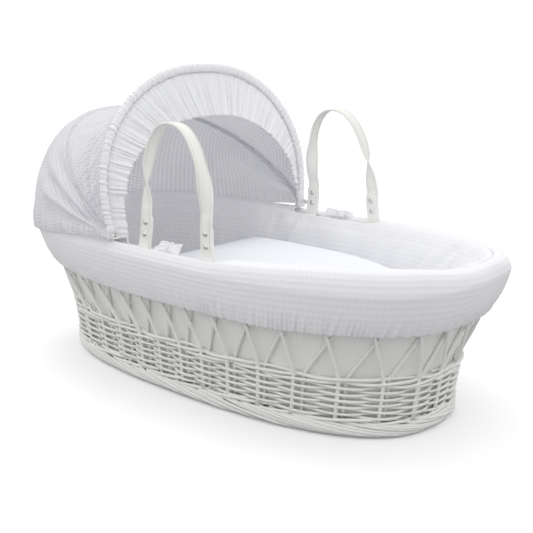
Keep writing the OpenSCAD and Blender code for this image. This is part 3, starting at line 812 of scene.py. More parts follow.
class MOSES_OT_lining(bpy.types.Operator):
    """Hangs the lining cloth inside the lattice."""

    bl_idname = "moses.lining"
    bl_label = "Lining"

    def execute(self, context):
        cloth = context.scene.moses_cloth
        finish = plain_cloth_finish("cream_lining", cloth.lining, linear("#B9B6AF"))
        mesh, flat = lining_sheet("lining_cloth")
        piece = add_piece("lining_cloth", mesh, finish, "basket", ["inner_lining"])
        thicken(piece, 0.8 * MM)
        return {"FINISHED"}


class MOSES_OT_mattress(bpy.types.Operator):
    """Lays the foam mattress in its fitted sheet."""

    bl_idname = "moses.mattress"
    bl_label = "Mattress"

    def execute(self, context):
        low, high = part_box("mattress_cover")[0].z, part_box("mattress_cover")[1].z
        edge = BUMPER_IN - 3 * MM
        sheet_finish = plain_cloth_finish("ticking", linear("#F1F1EE"), linear("#E4E4E1"))
        mesh = bed_pad("fitted_sheet", low, high - 2 * MM, edge, 4 * MM, 12 * MM)
        piece = add_piece("fitted_sheet", mesh, sheet_finish, "basket", ["mattress_cover"])
        foam = plain_finish("foam", "#F0E6CF", 0.9, 2 * MM, 0.4 * MM)
        mesh = bed_pad("foam_core", low + 2 * MM, high - 4 * MM, edge - 2 * MM, 3.4 * MM, 12 * MM)
        piece = add_piece("foam_core", mesh, foam, "basket", ["mattress"])
        return {"FINISHED"}


COVERLET_HEAD = -185 * MM


def coverlet_dome(thick):
    """Rings of the coverlet from its foot over the dome and back inside."""
    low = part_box("coverlet")[0].z
    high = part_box("coverlet")[1].z
    edge = BUMPER_IN - 5.5 * MM
    middle = (RIM_BOX[1].x + edge + COVERLET_HEAD) / 2
    turns = np.linspace(0, 2 * np.pi, 193)
    rings = []
    steps = (0, 0.25, 0.45, 0.62, 0.75, 0.85, 0.92, 0.965, 0.985, 0.995, 1.0)
    for inner, shares in ((0.0, steps), (thick, steps[::-1])):
        for share in shares:
            shrink = (1 - share**2.6) ** (1 / 2.6)
            z = low + share * (high - inner - low)
            ring = oval(turns, edge - inner, np.full_like(turns, z))
            x = np.maximum(ring[:, 0], inner + COVERLET_HEAD)
            x = middle + (x - middle) * shrink
            rings.append(np.stack((x, ring[:, 1] * shrink, np.full_like(x, z)), -1))
    rings.append(rings[0])
    return np.array(rings)


def swell(piece, voxel, pressure, cap, frames=20):
    """Fills a pad by cloth simulation: it swells under pressure, no point further than the cap."""
    scene = bpy.context.scene
    bpy.context.view_layer.objects.active = piece
    remesh = piece.modifiers.new("Remesh", "REMESH")
    remesh.mode = "VOXEL"
    remesh.voxel_size = voxel
    bpy.ops.object.select_all(action="DESELECT")
    piece.select_set(True)
    bpy.ops.object.modifier_apply(modifier="Remesh")
    count = len(piece.data.vertices)
    before = np.empty(count * 3)
    piece.data.vertices.foreach_get("co", before)
    cloth = piece.modifiers.new("Cloth", "CLOTH")
    cloth.settings.use_pressure = True
    cloth.settings.uniform_pressure_force = pressure
    cloth.settings.effector_weights.gravity = 0.0
    cloth.point_cache.frame_start = 1
    cloth.point_cache.frame_end = frames
    for number in range(1, frames + 1):
        scene.frame_set(number)
    seen = piece.evaluated_get(bpy.context.evaluated_depsgraph_get())
    after = np.empty(count * 3)
    seen.data.vertices.foreach_get("co", after)
    piece.modifiers.remove(cloth)
    scene.frame_set(1)
    before, after = before.reshape(-1, 3), after.reshape(-1, 3)
    move = after - before
    far = np.linalg.norm(move, axis=1, keepdims=True)
    move *= np.minimum(1, cap / np.maximum(far, 1e-9))
    piece.data.vertices.foreach_set("co", (before + move).ravel())
    piece.data.update()


class MOSES_OT_coverlet(bpy.types.Operator):
    """Puffs up the coverlet."""

    bl_idname = "moses.coverlet"
    bl_label = "Coverlet"

    def execute(self, context):
        cloth = context.scene.moses_cloth
        shade = linear("#CDD4E0")
        finish = waffle_finish("coverlet_cotton", cloth.fine_cell, cloth.quilt, shade, "Object", 0.5)
        rings = coverlet_dome(9 * MM)
        uv = rings[..., :2].copy()
        mesh = grid_mesh("coverlet_quilt", rings, uv)
        piece = add_piece("coverlet_quilt", mesh, finish, "basket", ["coverlet"])
        swell(piece, 5 * MM, 4.0, 7 * MM)
        for face in piece.data.polygons:
            face.use_smooth = True
        finer = piece.modifiers.new("Smooth", "SUBSURF")
        finer.levels = finer.render_levels = 1
        return {"FINISHED"}


SKIRT_OUTSIDE = (
    (2.6, 158.5), (4.5, 156.5), (6.8, 158.5), (9.0, 166), (11.6, 182), (11.6, 198), (10.6, 211), (8.6, 222),
    (4.5, 231), (-1.5, 235.6), (-8, 236.2), (-12.2, 233.6), (-13.3, 229.5),
)
SKIRT_INSIDE = ((-13.3, 229.5), (-10, 227), (-1, 223.5), (2.0, 214), (3.2, 200), (2.8, 170), (2.6, 158.5))
BUMPER_INSIDE = (
    (-13.7, 229.5), (-14.0, 233.3), (-17.5, 235.8), (-22, 233.5), (-27.5, 226), (-32.4, 213), (-33.6, 195),
    (-32.6, 150), (-31.6, 90), (-29.5, 66), (-24, 61),
)
BUMPER_OUTSIDE = ((-24, 61), (-16.5, 66), (-15.2, 90), (-15.2, 150), (-15.2, 192), (-20.4, 204), (-20.6, 216),
                  (-18, 225), (-13.7, 229.5))


def dressing_ring(name, face, back, cell, relief, shape, reach):
    """A padded ring round the rim: a fine waffled face and a plain back, shaped by a function of place."""
    cells = round(even_turns(200, reach, RIM_Z)[1] / cell)
    turns, long = even_turns(cells * 4, reach, RIM_Z)
    true_cell = long / cells
    rows = int(path_length(smooth_path(np.array(face) * MM, 200))[-1] / true_cell * 4)
    front, front_normal, front_run = ring_sheet(face, rows)
    rear, _, rear_run = ring_sheet(back, 12)
    run = np.linspace(0, long, len(turns))[None, :]
    rise = front_run[:, None]
    edge = ease(rise / (6 * MM)) * ease((front_run[-1] - rise) / (6 * MM))
    lift = relief * edge * (waffle_relief(run, rise, true_cell) - 0.6)
    flat = oval(turns[None, :], front[:, :1], front[:, 1:])
    more_out, more_up, bulge = shape(flat, run, rise, front, long)
    lift = lift + bulge
    out = front[:, :1] + front_normal[:, :1] * lift + more_out
    z = front[:, 1:] + front_normal[:, 1:] * lift + more_up
    face_points = oval(turns[None, :], out, z)
    share = (rear_run / rear_run[-1])[1:-1, None]
    start_out, start_up = more_out[-1:] + 0 * run, more_up[-1:] + 0 * run
    end_out, end_up = more_out[:1] + 0 * run, more_up[:1] + 0 * run
    back_out = rear[1:-1, :1] + start_out * (1 - share) ** 2 + end_out * share**2
    back_up = rear[1:-1, 1:] + start_up * (1 - share) ** 2 + end_up * share**2
    back_points = oval(turns[None, :], back_out, back_up)
    points = np.concatenate((face_points, back_points, face_points[:1]))
    run_down = np.concatenate((front_run, front_run[-1] + rear_run[1:]))
    uv = np.stack(np.meshgrid(run_down, run[0], indexing="ij")[::-1], axis=-1)
    uv = uv * (cell / true_cell)
    return grid_mesh(name, points, uv)


CREST_CLIMB = 11 * MM
HEM_DROOP = 5 * MM


def crest_climb(flat, up):
    """How much higher the soft crest stands towards the near foot corner."""
    along = ease((flat[..., 0] - 90 * MM) / (230 * MM))
    across = ease((-flat[..., 1] - 10 * MM) / (120 * MM))
    return CREST_CLIMB * along * across * ease((up - 165 * MM) / (55 * MM))


def skirt_shape(flat, run, rise, front, long):
    """The skirt's gathers at its hem, its soft folds, its seams and its slot."""
    up = front[:, 1:]
    near_hem = 1 - ease((up - 160 * MM) / (34 * MM))
    gather = 0.6 * drift(run, 17 * MM, 61, long) + 0.5 * drift(run + 0.2 * rise, 9 * MM, 62, long)
    gather = 1.5 * MM * gather * near_hem
    fold = 1.1 * MM * drift(run + 0.25 * rise, 90 * MM, 63, long) * hump(up, 165 * MM, 232 * MM, 20 * MM)
    seam = 0
    for place in (0.71, 0.60, 0.17, 0.34):
        at = place * long + (up - 0.2) * 0.18
        seam = seam + np.exp(-(((run - at) / (2.2 * MM)) ** 2))
    open_slot = slot_share(flat) * ease((up - 214 * MM) / (14 * MM))
    inner = ease((2 * MM - front[:, :1]) / (10 * MM))
    more_out = open_slot * inner * 8.5 * MM + 0 * run
    droop = hump(flat[..., 0], -210 * MM, 270 * MM, 160 * MM) * (flat[..., 1] < 0) * near_hem
    more_up = -open_slot * (2 + 3.5 * inner) * MM + crest_climb(flat, up) - HEM_DROOP * droop
    return more_out, more_up, gather + fold - 1.3 * MM * seam * hump(up, 160 * MM, 234 * MM, 12 * MM)


def bumper_shape(flat, run, rise, front, long):
    """The bumper's soft dents and its slot."""
    up = front[:, 1:]
    body = hump(up, 100 * MM, 228 * MM, 26 * MM)
    dent = 1.5 * drift(run + 0.3 * rise, 80 * MM, 71, long) + 0.8 * drift(run - 0.5 * rise, 38 * MM, 72, long)
    open_slot = slot_share(flat) * ease((up - 206 * MM) / (16 * MM))
    outer = ease((front[:, :1] + 27 * MM) / (9 * MM))
    more_out = -open_slot * outer * 4.5 * MM + 0 * run
    more_up = -open_slot * (7 + 3 * outer) * MM + crest_climb(flat, up)
    return more_out, more_up, dent * body * MM


class MOSES_OT_bumper(bpy.types.Operator):
    """Pads the inside of the basket."""

    bl_idname = "moses.bumper"
    bl_label = "Bumper"

    def execute(self, context):
        cloth = context.scene.moses_cloth
        finish = waffle_finish("waffle_cotton", cloth.cell, cloth.ridge, cloth.shaded_pit)
        mesh = dressing_ring("bumper_pad", BUMPER_INSIDE, BUMPER_OUTSIDE, cloth.cell, cloth.relief,
                             bumper_shape, BUMPER_IN)
        piece = add_piece("bumper_pad", mesh, finish, "basket", ["bumper"])
        return {"FINISHED"}


class MOSES_OT_skirt(bpy.types.Operator):
    """Hangs the padded skirt over the rim, with the elastic in its hem."""

    bl_idname = "moses.skirt"
    bl_label = "Skirt"

    def execute(self, context):
        cloth = context.scene.moses_cloth
        finish = waffle_finish("waffle_cotton", cloth.cell, cloth.ridge, cloth.shaded_pit)
        mesh = dressing_ring("skirt_pad", SKIRT_OUTSIDE, SKIRT_INSIDE, cloth.cell, cloth.relief, skirt_shape,
                             11 * MM)
        piece = add_piece("skirt_pad", mesh, finish, "basket", ["skirt"])
        turns, _ = even_turns(300, 5 * MM, 162 * MM)
        rod = (oval(turns, 4.6 * MM, np.full_like(turns, 161.5 * MM)), 1.1 * MM, (0, 0, 1))
        elastic = plain_finish("elastic", "#F2F2F2", 0.8, 1.5 * MM, 0.3 * MM)
        mesh = rods_mesh("hem_elastic", [rod], 8)
        add_piece("hem_elastic", mesh, elastic, "basket", ["skirt_elastic"])
        return {"FINISHED"}


def ribbon(points, width, across, folds=0.0, seed=1, count=28):
    """A ribbon through a few points: rows of points across its width."""
    line = smooth_path(np.array(points) * MM, count)
    wide = np.array(across, float)
    wide = wide / np.linalg.norm(wide)
    side = np.linspace(-0.5, 0.5, 7)
    run = path_length(line)
    up = np.array((0, 0, 1.0))
    curl = folds * MM * np.sin(side[None, :] * 9 + 40 * run[:, None] + seed)
    points = line[:, None] + wide * (side[None, :, None] * width * MM) + up * curl[..., None]
    uv = np.stack(np.meshgrid(run, side * width * MM, indexing="ij"), axis=-1)
    return points, uv


def bow(name, side):
    """A small tied bow: two loops, two tails and a knot."""
    x0 = (HANDLES[side].x - 12 * MM) / MM
    y0 = (HANDLES[side].y + side * (BORDER_R - 12 * MM)) / MM
    z0 = CREST_Z / MM
    parts = [
        ([(0, 0, 0), (-7, -4, 3), (-17, -5, 4), (-20, 1, 5), (-14, 5, 4), (-5, 2, 2), (0, 0, 1)], 10),
        ([(0, 0, 0), (7, 4, 3), (15, 6, 4), (19, 1, 4), (14, -4, 3), (5, -3, 2), (0, 0, 1)], 10),
        ([(0, 0, 1), (9, -5, 2), (18, -9, 1), (27, -9, -1)], 10),
        ([(0, 0, 1), (-8, -6, 2), (-15, -10, 0), (-22, -13, -3)], 10),
        ([(-3, -4, 1), (-2, 0, 4.5), (2, 3, 4), (3, 4, 0)], 10),
    ]
    grids, uvs, gaps, count = [], [], [], 0
    for number, (line, width) in enumerate(parts):
        line = [(x0 + px, y0 + side * py * -1, z0 + pz) for px, py, pz in line]
        points, uv = ribbon(line, width, (0.15, 0.5, 1.0), 0.7, number)
        grids.append(points)
        uvs.append(uv)
        count += len(points)
        gaps.append(count - 1)
    return grid_mesh(name, np.concatenate(grids), np.concatenate(uvs), gaps[:-1], turn_out=False)


class MOSES_OT_ties(bpy.types.Operator):
    """Ties the two bows of the dressing."""

    bl_idname = "moses.ties"
    bl_label = "Ties"

    def execute(self, context):
        cloth = context.scene.moses_cloth
        finish = waffle_finish("waffle_cotton", cloth.cell, cloth.ridge, cloth.shaded_pit)
        for side, word in ((-1, "near"), (1, "far")):
            mesh = bow(word + "_bow", side)
            piece = add_piece(word + "_bow", mesh, finish, "basket", [word + "_tie"])
            thicken(piece, 1.1 * MM)
        return {"FINISHED"}


# ---- Handles --------------------------------------------------------------------------------------

HANDLE_H = 198 * MM
LEG_V = 70 * MM
ARCH_SQUARE = 2.25
HANDLE_SKEW = 12 * MM
HANDLE_LEAN = math.radians(3.5)
LOOP_R = BORDER_R + 3.7 * MM
RIVET_V = (34 * MM, 52 * MM)


def handle_line():
    """The strap's line from its foot-end leg over the arch to its head-end leg, in its own plane."""
    half = HANDLE_SPAN / 2
    legs = [(half, 14), (half - 1 * MM, 26), (half - 3.5 * MM, 44), (half - 4 * MM, 58)]
    right = [(u, v * MM) for u, v in legs]
    f = np.radians(np.linspace(0, 180, 25))
    v = (HANDLE_H - LEG_V) * np.abs(np.sin(f)) ** (2 / ARCH_SQUARE)
    u = np.sign(np.cos(f)) * (half - 4 * MM) * np.abs(np.cos(f)) ** (2 / ARCH_SQUARE)
    arch = list(zip(u - HANDLE_SKEW * v / (HANDLE_H - LEG_V), LEG_V + v))
    left = [(-u, v) for u, v in reversed(right)]
    line = smooth_path([(u, 0.0, v) for u, v in right + arch + left], 150)
    return line


def strap_frame(line):
    """Directions across the strap's width and through its thickness along its line."""
    tangent = np.gradient(line, axis=0)
    tangent /= np.linalg.norm(tangent, axis=1, keepdims=True)
    outward = np.stack((tangent[:, 2], np.zeros(len(line)), -tangent[:, 0]), axis=-1)
    sideways = np.array((0.0, 1.0, 0.0))
    turn = (np.pi / 2 * ease((line[:, 2] - LEG_V - 6 * MM) / (70 * MM)))[:, None]
    wide = outward * np.cos(turn) + sideways * np.sin(turn)
    thick = -outward * np.sin(turn) + sideways * np.cos(turn)
    return wide, thick


def strap_section(width, thickness):
    """Corners of a flat strap's section, with rounded edges and a shallow seam line on each side."""
    w, h = width / 2, thickness / 2
    seam = 3 * MM
    half = [(-w, 0), (-w + 0.15 * h, 0.62 * h), (-w + 0.7 * h, h),
            (-w + seam - 0.8 * MM, h), (-w + seam, 0.8 * h),
            (-w + seam + 0.8 * MM, h), (0, 1.04 * h)]
    top = half + [(-x, y) for x, y in reversed(half[:-1])]
    return np.array(top + [(-x, -y) for x, y in top[1:]])


def strap_rings(line, wide, thick, section, offset):
    """Rings of a strap along its line, shifted through its thickness."""
    return (
        line[:, None]
        + wide[:, None] * section[None, :, :1]
        + thick[:, None] * (section[None, :, 1:] + np.broadcast_to(offset, len(line))[:, None, None])
    )


def capped(rings):
    """Closes a run of rings to a point at both ends."""
    first = np.broadcast_to(rings[:1].mean(axis=1, keepdims=True), rings[:1].shape)
    last = np.broadcast_to(rings[-1:].mean(axis=1, keepdims=True), rings[-1:].shape)
    return np.concatenate((first, rings, last))


def to_handle(points, side):
    """Places points of a handle's own plane, whose y points to the bed, on its side of the basket."""
    c, s = math.cos(HANDLE_LEAN), math.sin(HANDLE_LEAN)
    y = -side * (points[..., 1] * c + points[..., 2] * s)
    z = points[..., 2] * c - points[..., 1] * s
    foot = HANDLES[side]
    return np.stack((points[..., 0] + foot.x, y + foot.y, z + foot.z), axis=-1)


def strap_mesh(name, side, sizes):
    """A strap that loops round the rim at each foot and is riveted back on itself with a pointed tab."""
    line = handle_line()
    wide, thick = strap_frame(line)
    section = strap_section(sizes.width, sizes.thickness)
    t = sizes.thickness
    offset = -0.5 * t * (1 - ease((line[:, 2] - LEG_V) / (10 * MM)))
    parts = [capped(strap_rings(line, wide, thick, section, offset))]
    for foot in (-1, 1):
        around = np.radians(np.linspace(-80, 260, 40))
        loop = [(foot * HANDLE_SPAN / 2, LOOP_R * math.cos(a), -LOOP_R * math.sin(a)) for a in around[::-1]]
        start = [(foot * HANDLE_SPAN / 2, -t / 2, 18 * MM)]
        up = [(foot * (HANDLE_SPAN / 2 - s * MM), t / 2 + 0.05 * MM, v * MM)
              for s, v in ((0.4, 18), (1, 26), (3.5, 44), (4, 58), (4, 69))]
        path = smooth_path(start + loop + up, 110)
        tangent = np.gradient(path, axis=0)
        tangent /= np.linalg.norm(tangent, axis=1, keepdims=True)
        across = np.broadcast_to((1.0, 0.0, 0.0), path.shape)
        through = np.cross(tangent, across)
        point = np.clip((path_length(path)[-1] - path_length(path)) / (11 * MM), 0.02, 1) ** 0.8
        tapered = section[None] * np.stack((point, np.ones_like(point)), axis=-1)[:, None]
        rings = path[:, None] + across[:, None] * tapered[..., :1] + through[:, None] * tapered[..., 1:]
        parts.append(capped(rings))
    uvs = []
    for rings in parts:
        run = path_length(rings.mean(axis=1))
        around = np.linspace(0, 2 * sizes.width, rings.shape[1])
        uvs.append(np.stack(np.meshgrid(run, around, indexing="ij"), axis=-1))
    gaps = np.cumsum([len(p) for p in parts])[:-1] - 1
    return grid_mesh(name, to_handle(np.concatenate(parts), side), np.concatenate(uvs), gaps)


def stitch_mesh(name, side, sizes):
    """Two rows of stitches along each face of the strap."""
    line = handle_line()
    wide, thick = strap_frame(line)
    run = path_length(line)
    offset = -0.5 * sizes.thickness * (1 - ease((line[:, 2] - LEG_V) / (10 * MM)))
    rods = []
    places = np.arange(run[0] + 14 * MM, run[-1] - 14 * MM, sizes.stitch)
    for face in (-1, 1):
        for edge in (-1, 1):
            shift = wide * edge * (sizes.width / 2 - 3 * MM)
            skin = thick * (face * (sizes.thickness / 2 - 0.1 * MM) + offset)[:, None]
            seam = to_handle(line + shift + skin, side)
            for at in places:
                ends = [at, at + 0.3 * sizes.stitch, at + 0.68 * sizes.stitch]
                path = np.stack([np.interp(ends, run, seam[:, i]) for i in range(3)], axis=-1)
                rods.append((path, np.array((0.28, 0.42, 0.28)) * MM, (0.3, 0.9, 0.31)))
    return rods_mesh(name, rods, 4)


def rivet_mesh(name, side, sizes):
    """Tubular rivets with a domed cap over a flange on each face."""
    section = ((0.0, 2.1), (1.6, 1.95), (2.9, 1.45), (3.7, 0.7), (4.0, 0.35), (4.6, 0.3), (4.7, 0.0))
    bm = bmesh.new()
    for foot in (-1, 1):
        for v in RIVET_V:
            for face in (-1, 1):
                inset = np.interp(v, (26 * MM, 44 * MM, 58 * MM), (1 * MM, 3.5 * MM, 4 * MM))
                middle = np.array((foot * (HANDLE_SPAN / 2 - inset), face * (sizes.thickness + 0.02 * MM), v))
                verts = [bm.verts.new((r * MM, face * h * MM, 0)) for r, h in section]
                edges = [bm.edges.new(pair) for pair in zip(verts, verts[1:])]
                bmesh.ops.spin(
                    bm, geom=verts + edges, cent=(0, 0, 0), axis=(0, 1, 0), dvec=(0, 0, 0), angle=2 * math.pi,
                    steps=28, use_merge=True, use_duplicate=False,
                )
                new = {vert for part in bm.faces for vert in part.verts if not vert.tag}
                for vert in new:
                    place = to_handle(np.array(vert.co) + middle, side)
                    vert.co = Vector(place)
                    vert.tag = True
    bmesh.ops.remove_doubles(bm, verts=bm.verts, dist=1e-6)
    bmesh.ops.recalc_face_normals(bm, faces=bm.faces)
    for face in bm.faces:
        face.smooth = True
    mesh = bpy.data.meshes.new(name)
    bm.to_mesh(mesh)
    bm.free()
    return mesh


class MOSES_OT_handles(bpy.types.Operator):
    """Loops the two strap handles round the rim, stitches and rivets them."""

    bl_idname = "moses.handles"
    bl_label = "Handles"

    def execute(self, context):
        sizes = context.scene.moses_handles
        leather = leatherette_finish(sizes)
        thread = plain_finish("strap_thread", "#CFD8C2", 0.7, 1 * MM, 0.2 * MM)
        thread.node_tree.nodes["Principled BSDF"].inputs["Base Color"].default_value = rgba(sizes.thread)
        for side, word in ((-1, "near"), (1, "far")):
            body = word + "_handle"
            add_piece(word + "_handle_strap", strap_mesh(word + "_handle_strap", side, sizes), leather,
                      body, [word + "_strap"])
            add_piece(word + "_stitches", stitch_mesh(word + "_stitches", side, sizes), thread,
                      body)
            add_piece(word + "_rivet_caps", rivet_mesh(word + "_rivet_caps", side, sizes), nickel_finish(),
                      body, [word + "_rivets"])
        return {"FINISHED"}


# ---- Hood -----------------------------------------------------------------------------------------

HOOP_SQUARE = 2.4
HOOP_BOW = 12 * MM
CREST_SHARE = (1 - (abs(PIVOT.x) / WALL_A[2]) ** WALL_N[2]) ** (1 / WALL_N[2])
CREST_HALF = WALL_B[2] * CREST_SHARE / math.cos(HOOD_SKEW)
FRONT_HALF = CREST_HALF + 1.9 * MM
REAR_HALF = CREST_HALF - 2 * MM
FRONT_TILT = math.radians(6.6)
REAR_TILT = math.radians(56)
ROOF_SAG = 32 * MM
HEM_OUT = 15 * MM
HEM_Z = 199 * MM
BED_MIDDLE = (-0.2, 0.0, 0.2)


def skewed(x, y, z):
    """Turns the hood's own directions, measured from its pivots, to the basket's."""
    c, s = math.cos(HOOD_SKEW), math.sin(HOOD_SKEW)
    x, y, z = np.broadcast_arrays(x, y, z)
    return np.stack((PIVOT.x + x * c + y * s, y * c - x * s, z), axis=-1)


def hoop_line(f, half, height, tilt, outward=0.0, forward=0.0):
    """Points at angles f along a hoop, a distance outside its wire and a distance in front of it."""
    c, s = np.cos(f), np.maximum(np.sin(f), 0)
    rise = s ** (2 / HOOP_SQUARE)
    bow = 1 + HOOP_BOW / half * 4 * rise * (1 - rise)
    y = -np.sign(c) * (half + outward) * np.abs(c) ** (2 / HOOP_SQUARE) * bow
    up = (height + outward) * rise
    x = forward * math.cos(tilt) - up * math.sin(tilt)
    return skewed(x, y, PIVOT.z + up * math.cos(tilt) + forward * math.sin(tilt))


def even_angles(count, first, half, height):
    """Hoop angles spaced evenly along the wire, and the length between the outer ones."""
    f = np.radians(np.linspace(first, 180 - first, 2001))
    run = path_length(hoop_line(f, half, height, 0.0))
    return np.interp(np.linspace(0, run[-1], count), run, f), run[-1]


def hem_line(f, outward):
    """The hood's elasticated hem round the head end for hoop angles f."""
    turn = np.radians(177 + 79.5 * (1 - 2 * f / np.pi))
    side = np.abs(np.cos(f)) ** 3
    z = HEM_Z + (CREST_Z + 4 * MM - HEM_Z) * side
    return oval(turn, HEM_OUT + outward, z)


def pivot_folds(points):
    """Folds that fan out from each pivot over the hood's sides: how far the cloth stands out."""
    back = PIVOT.x + points[..., 1] * math.sin(HOOD_SKEW) - points[..., 0]
    up = points[..., 2] - PIVOT.z
    angle = np.degrees(np.arctan2(up, back))
    away = np.hypot(back, up)
    side = ease((np.abs(points[..., 1]) - 95 * MM) / (70 * MM))
    reach = ease((away - 12 * MM) / (50 * MM)) * (1 - ease((away - 150 * MM) / (110 * MM)))
    near = points[..., 1] < 0
    total = 0.0
    # Each fold's angle above the hem, its width in degrees, and its height in millimetres
    near_folds = (
        (77, 5, 4), (69, 3, -5), (63, 3, 5), (56, 3.4, -14), (49, 3, 7), (43, 2.5, -3),
        (38, 2.5, 4), (30, 2.5, -4), (25, 2.5, 4), (19, 2, -6), (13, 3, 5), (3, 5, -3),
    )
    far_folds = ((80, 7, 4), (69, 5, -5), (58, 5, 5), (45, 4, -4), (34, 5, 4), (20, 5, -4), (8, 6, 3))
    for folds, here in ((near_folds, near), (far_folds, ~near)):
        for centre, width, height in folds:
            total = total + height * MM * np.exp(-(((angle - centre) / width) ** 2)) * here
    return total * side * reach


def canopy_top_mesh(name, sizes, cloth):
    """The hood's roof between its hoops."""
    cols, rows = 340, 116
    f, long = even_angles(cols, 1, FRONT_HALF, sizes.front_height)
    k = np.linspace(0, 1, rows)[:, None, None]
    out_of_casing, behind = sizes.casing * 0.6, -sizes.casing * 0.5
    start = hoop_line(f, FRONT_HALF, sizes.front_height, FRONT_TILT, out_of_casing, behind)[None]
    end = hoop_line(f, REAR_HALF, sizes.rear_height, REAR_TILT, 3.6 * MM)[None]
    points = start + (end - start) * k
    away = points - np.array(BED_MIDDLE)
    away /= np.linalg.norm(away, axis=-1, keepdims=True)
    points = points - away * (ROOF_SAG * np.sin(f)[None, :, None] ** 2 * np.sin(np.pi * k))
    out = face_normals(points, BED_MIDDLE)
    wide = np.linalg.norm(end - start, axis=-1)
    run = np.broadcast_to(np.linspace(0, long, cols)[None, :], (rows, cols))
    down = k[..., 0] * wide
    sag = np.sin(np.pi * k[..., 0])
    puff = 1.6 * MM * drift(run + 0.4 * down, 60 * MM, 81) * sag
    puff = puff + pivot_folds(points) * ease(k[..., 0] * 5) * ease((1 - k[..., 0]) * 6)
    puff = puff + 0.6 * cloth.relief * (waffle_relief(run, down, 0.8 * cloth.cell) - 0.5)
    uv = np.stack((run, down), axis=-1)
    return grid_mesh(name, points + out * puff[..., None], uv, turn_out=False)


def canopy_back_mesh(name, sizes, cloth):
    """The hood's back, which hangs from the rear hoop over the head end and tucks under to its hem."""
    cols, rows = 340, 132
    f, long = even_angles(cols, 1, REAR_HALF, sizes.rear_height)
    k = np.linspace(0, 1, rows)[:, None, None]
    start = hoop_line(f, REAR_HALF, sizes.rear_height, REAR_TILT, 3.6 * MM)[None]
    end = hem_line(f, 1 * MM)[None]
    s = np.sin(f)[:, None] ** 0.6
    upper = start + s * np.array((-60, 0, 12)) * MM
    lower = hem_line(f, 1 * MM + 13 * MM * s[:, 0])[None] + s * np.array((0, 0, 66)) * MM
    points = (1 - k) ** 3 * start + 3 * k * (1 - k) ** 2 * upper + 3 * k**2 * (1 - k) * lower + k**3 * end
    out = face_normals(points, BED_MIDDLE)
    run = np.broadcast_to(np.linspace(0, long, cols)[None, :], (rows, cols))
    steps = np.linalg.norm(np.diff(points, axis=0), axis=-1)
    down = np.concatenate((np.zeros((1, cols)), np.cumsum(steps, axis=0)))
    hem = ease((k[..., 0] - 0.72) / 0.28)
    gather = 2.2 * MM * hem * (0.6 * drift(run, 13 * MM, 84) + 0.5 * drift(run, 7 * MM, 85))
    puff = gather + pivot_folds(points) * ease(k[..., 0] * 6)
    puff = puff + 2.2 * MM * drift(run + 0.5 * down, 85 * MM, 87) * np.sin(np.pi * k[..., 0])
    puff = puff + 0.6 * cloth.relief * (waffle_relief(run, down, 0.8 * cloth.cell) - 0.5)
    uv = np.stack((run, down), axis=-1)
    return grid_mesh(name, points + out * puff[..., None], uv, turn_out=False)


def casing_mesh(name, half, height, tilt, tall, thick, first, seed, tail, forward=0.0):
    """A gathered cloth tube round a hoop, crossed by fine tucks."""
    cols = 820
    f, _ = even_angles(cols, first, half, height)
    path = hoop_line(f, half, height, tilt, 0.0, forward)
    outer = hoop_line(f, half, height, tilt, 1 * MM, forward) - path
    outer /= np.linalg.norm(outer, axis=1, keepdims=True)
    foot = np.linspace(tail, 0, 14)[:-1, None] * np.array((0.0, 0.0, -1.0))
    outer = np.concatenate((outer[:1] + 0 * foot, outer, outer[-1:] + 0 * foot))
    path = np.concatenate((path[:1] + foot, path, path[-1:] + foot[::-1]))
    run = path_length(path)
    front = skewed(math.cos(tilt), 0.0, math.sin(tilt)) - skewed(0.0, 0.0, 0.0)
    angle = np.linspace(0, 2 * np.pi, 25)[None, :]
    tuck = 0.7 * drift(run, 8 * MM, seed)[:, None] + 0.45 * drift(run, 4 * MM, seed + 1)[:, None]
    lean = drift(run, 25 * MM, seed + 2)[:, None] * 0.3
    swell_out = 1 + 0.24 * tuck * (0.8 + 0.4 * np.sin(angle + lean * 4))
    rings = (
        path[:, None]
        + outer[:, None] * (tall * np.cos(angle) * swell_out)[..., None]
        + front * (thick * np.sin(angle) * swell_out)[..., None]
    )
    uv = np.stack(np.broadcast_arrays(run[:, None], angle * 0.5 * (tall + thick)), axis=-1)
    rings = capped(rings)
    uv = np.concatenate((uv[:1], uv, uv[-1:]))
    return grid_mesh(name, rings, uv)


FRILL_TAIL = 22 * MM
FRILL_TOP = 78
FRILL_SIDE = 19


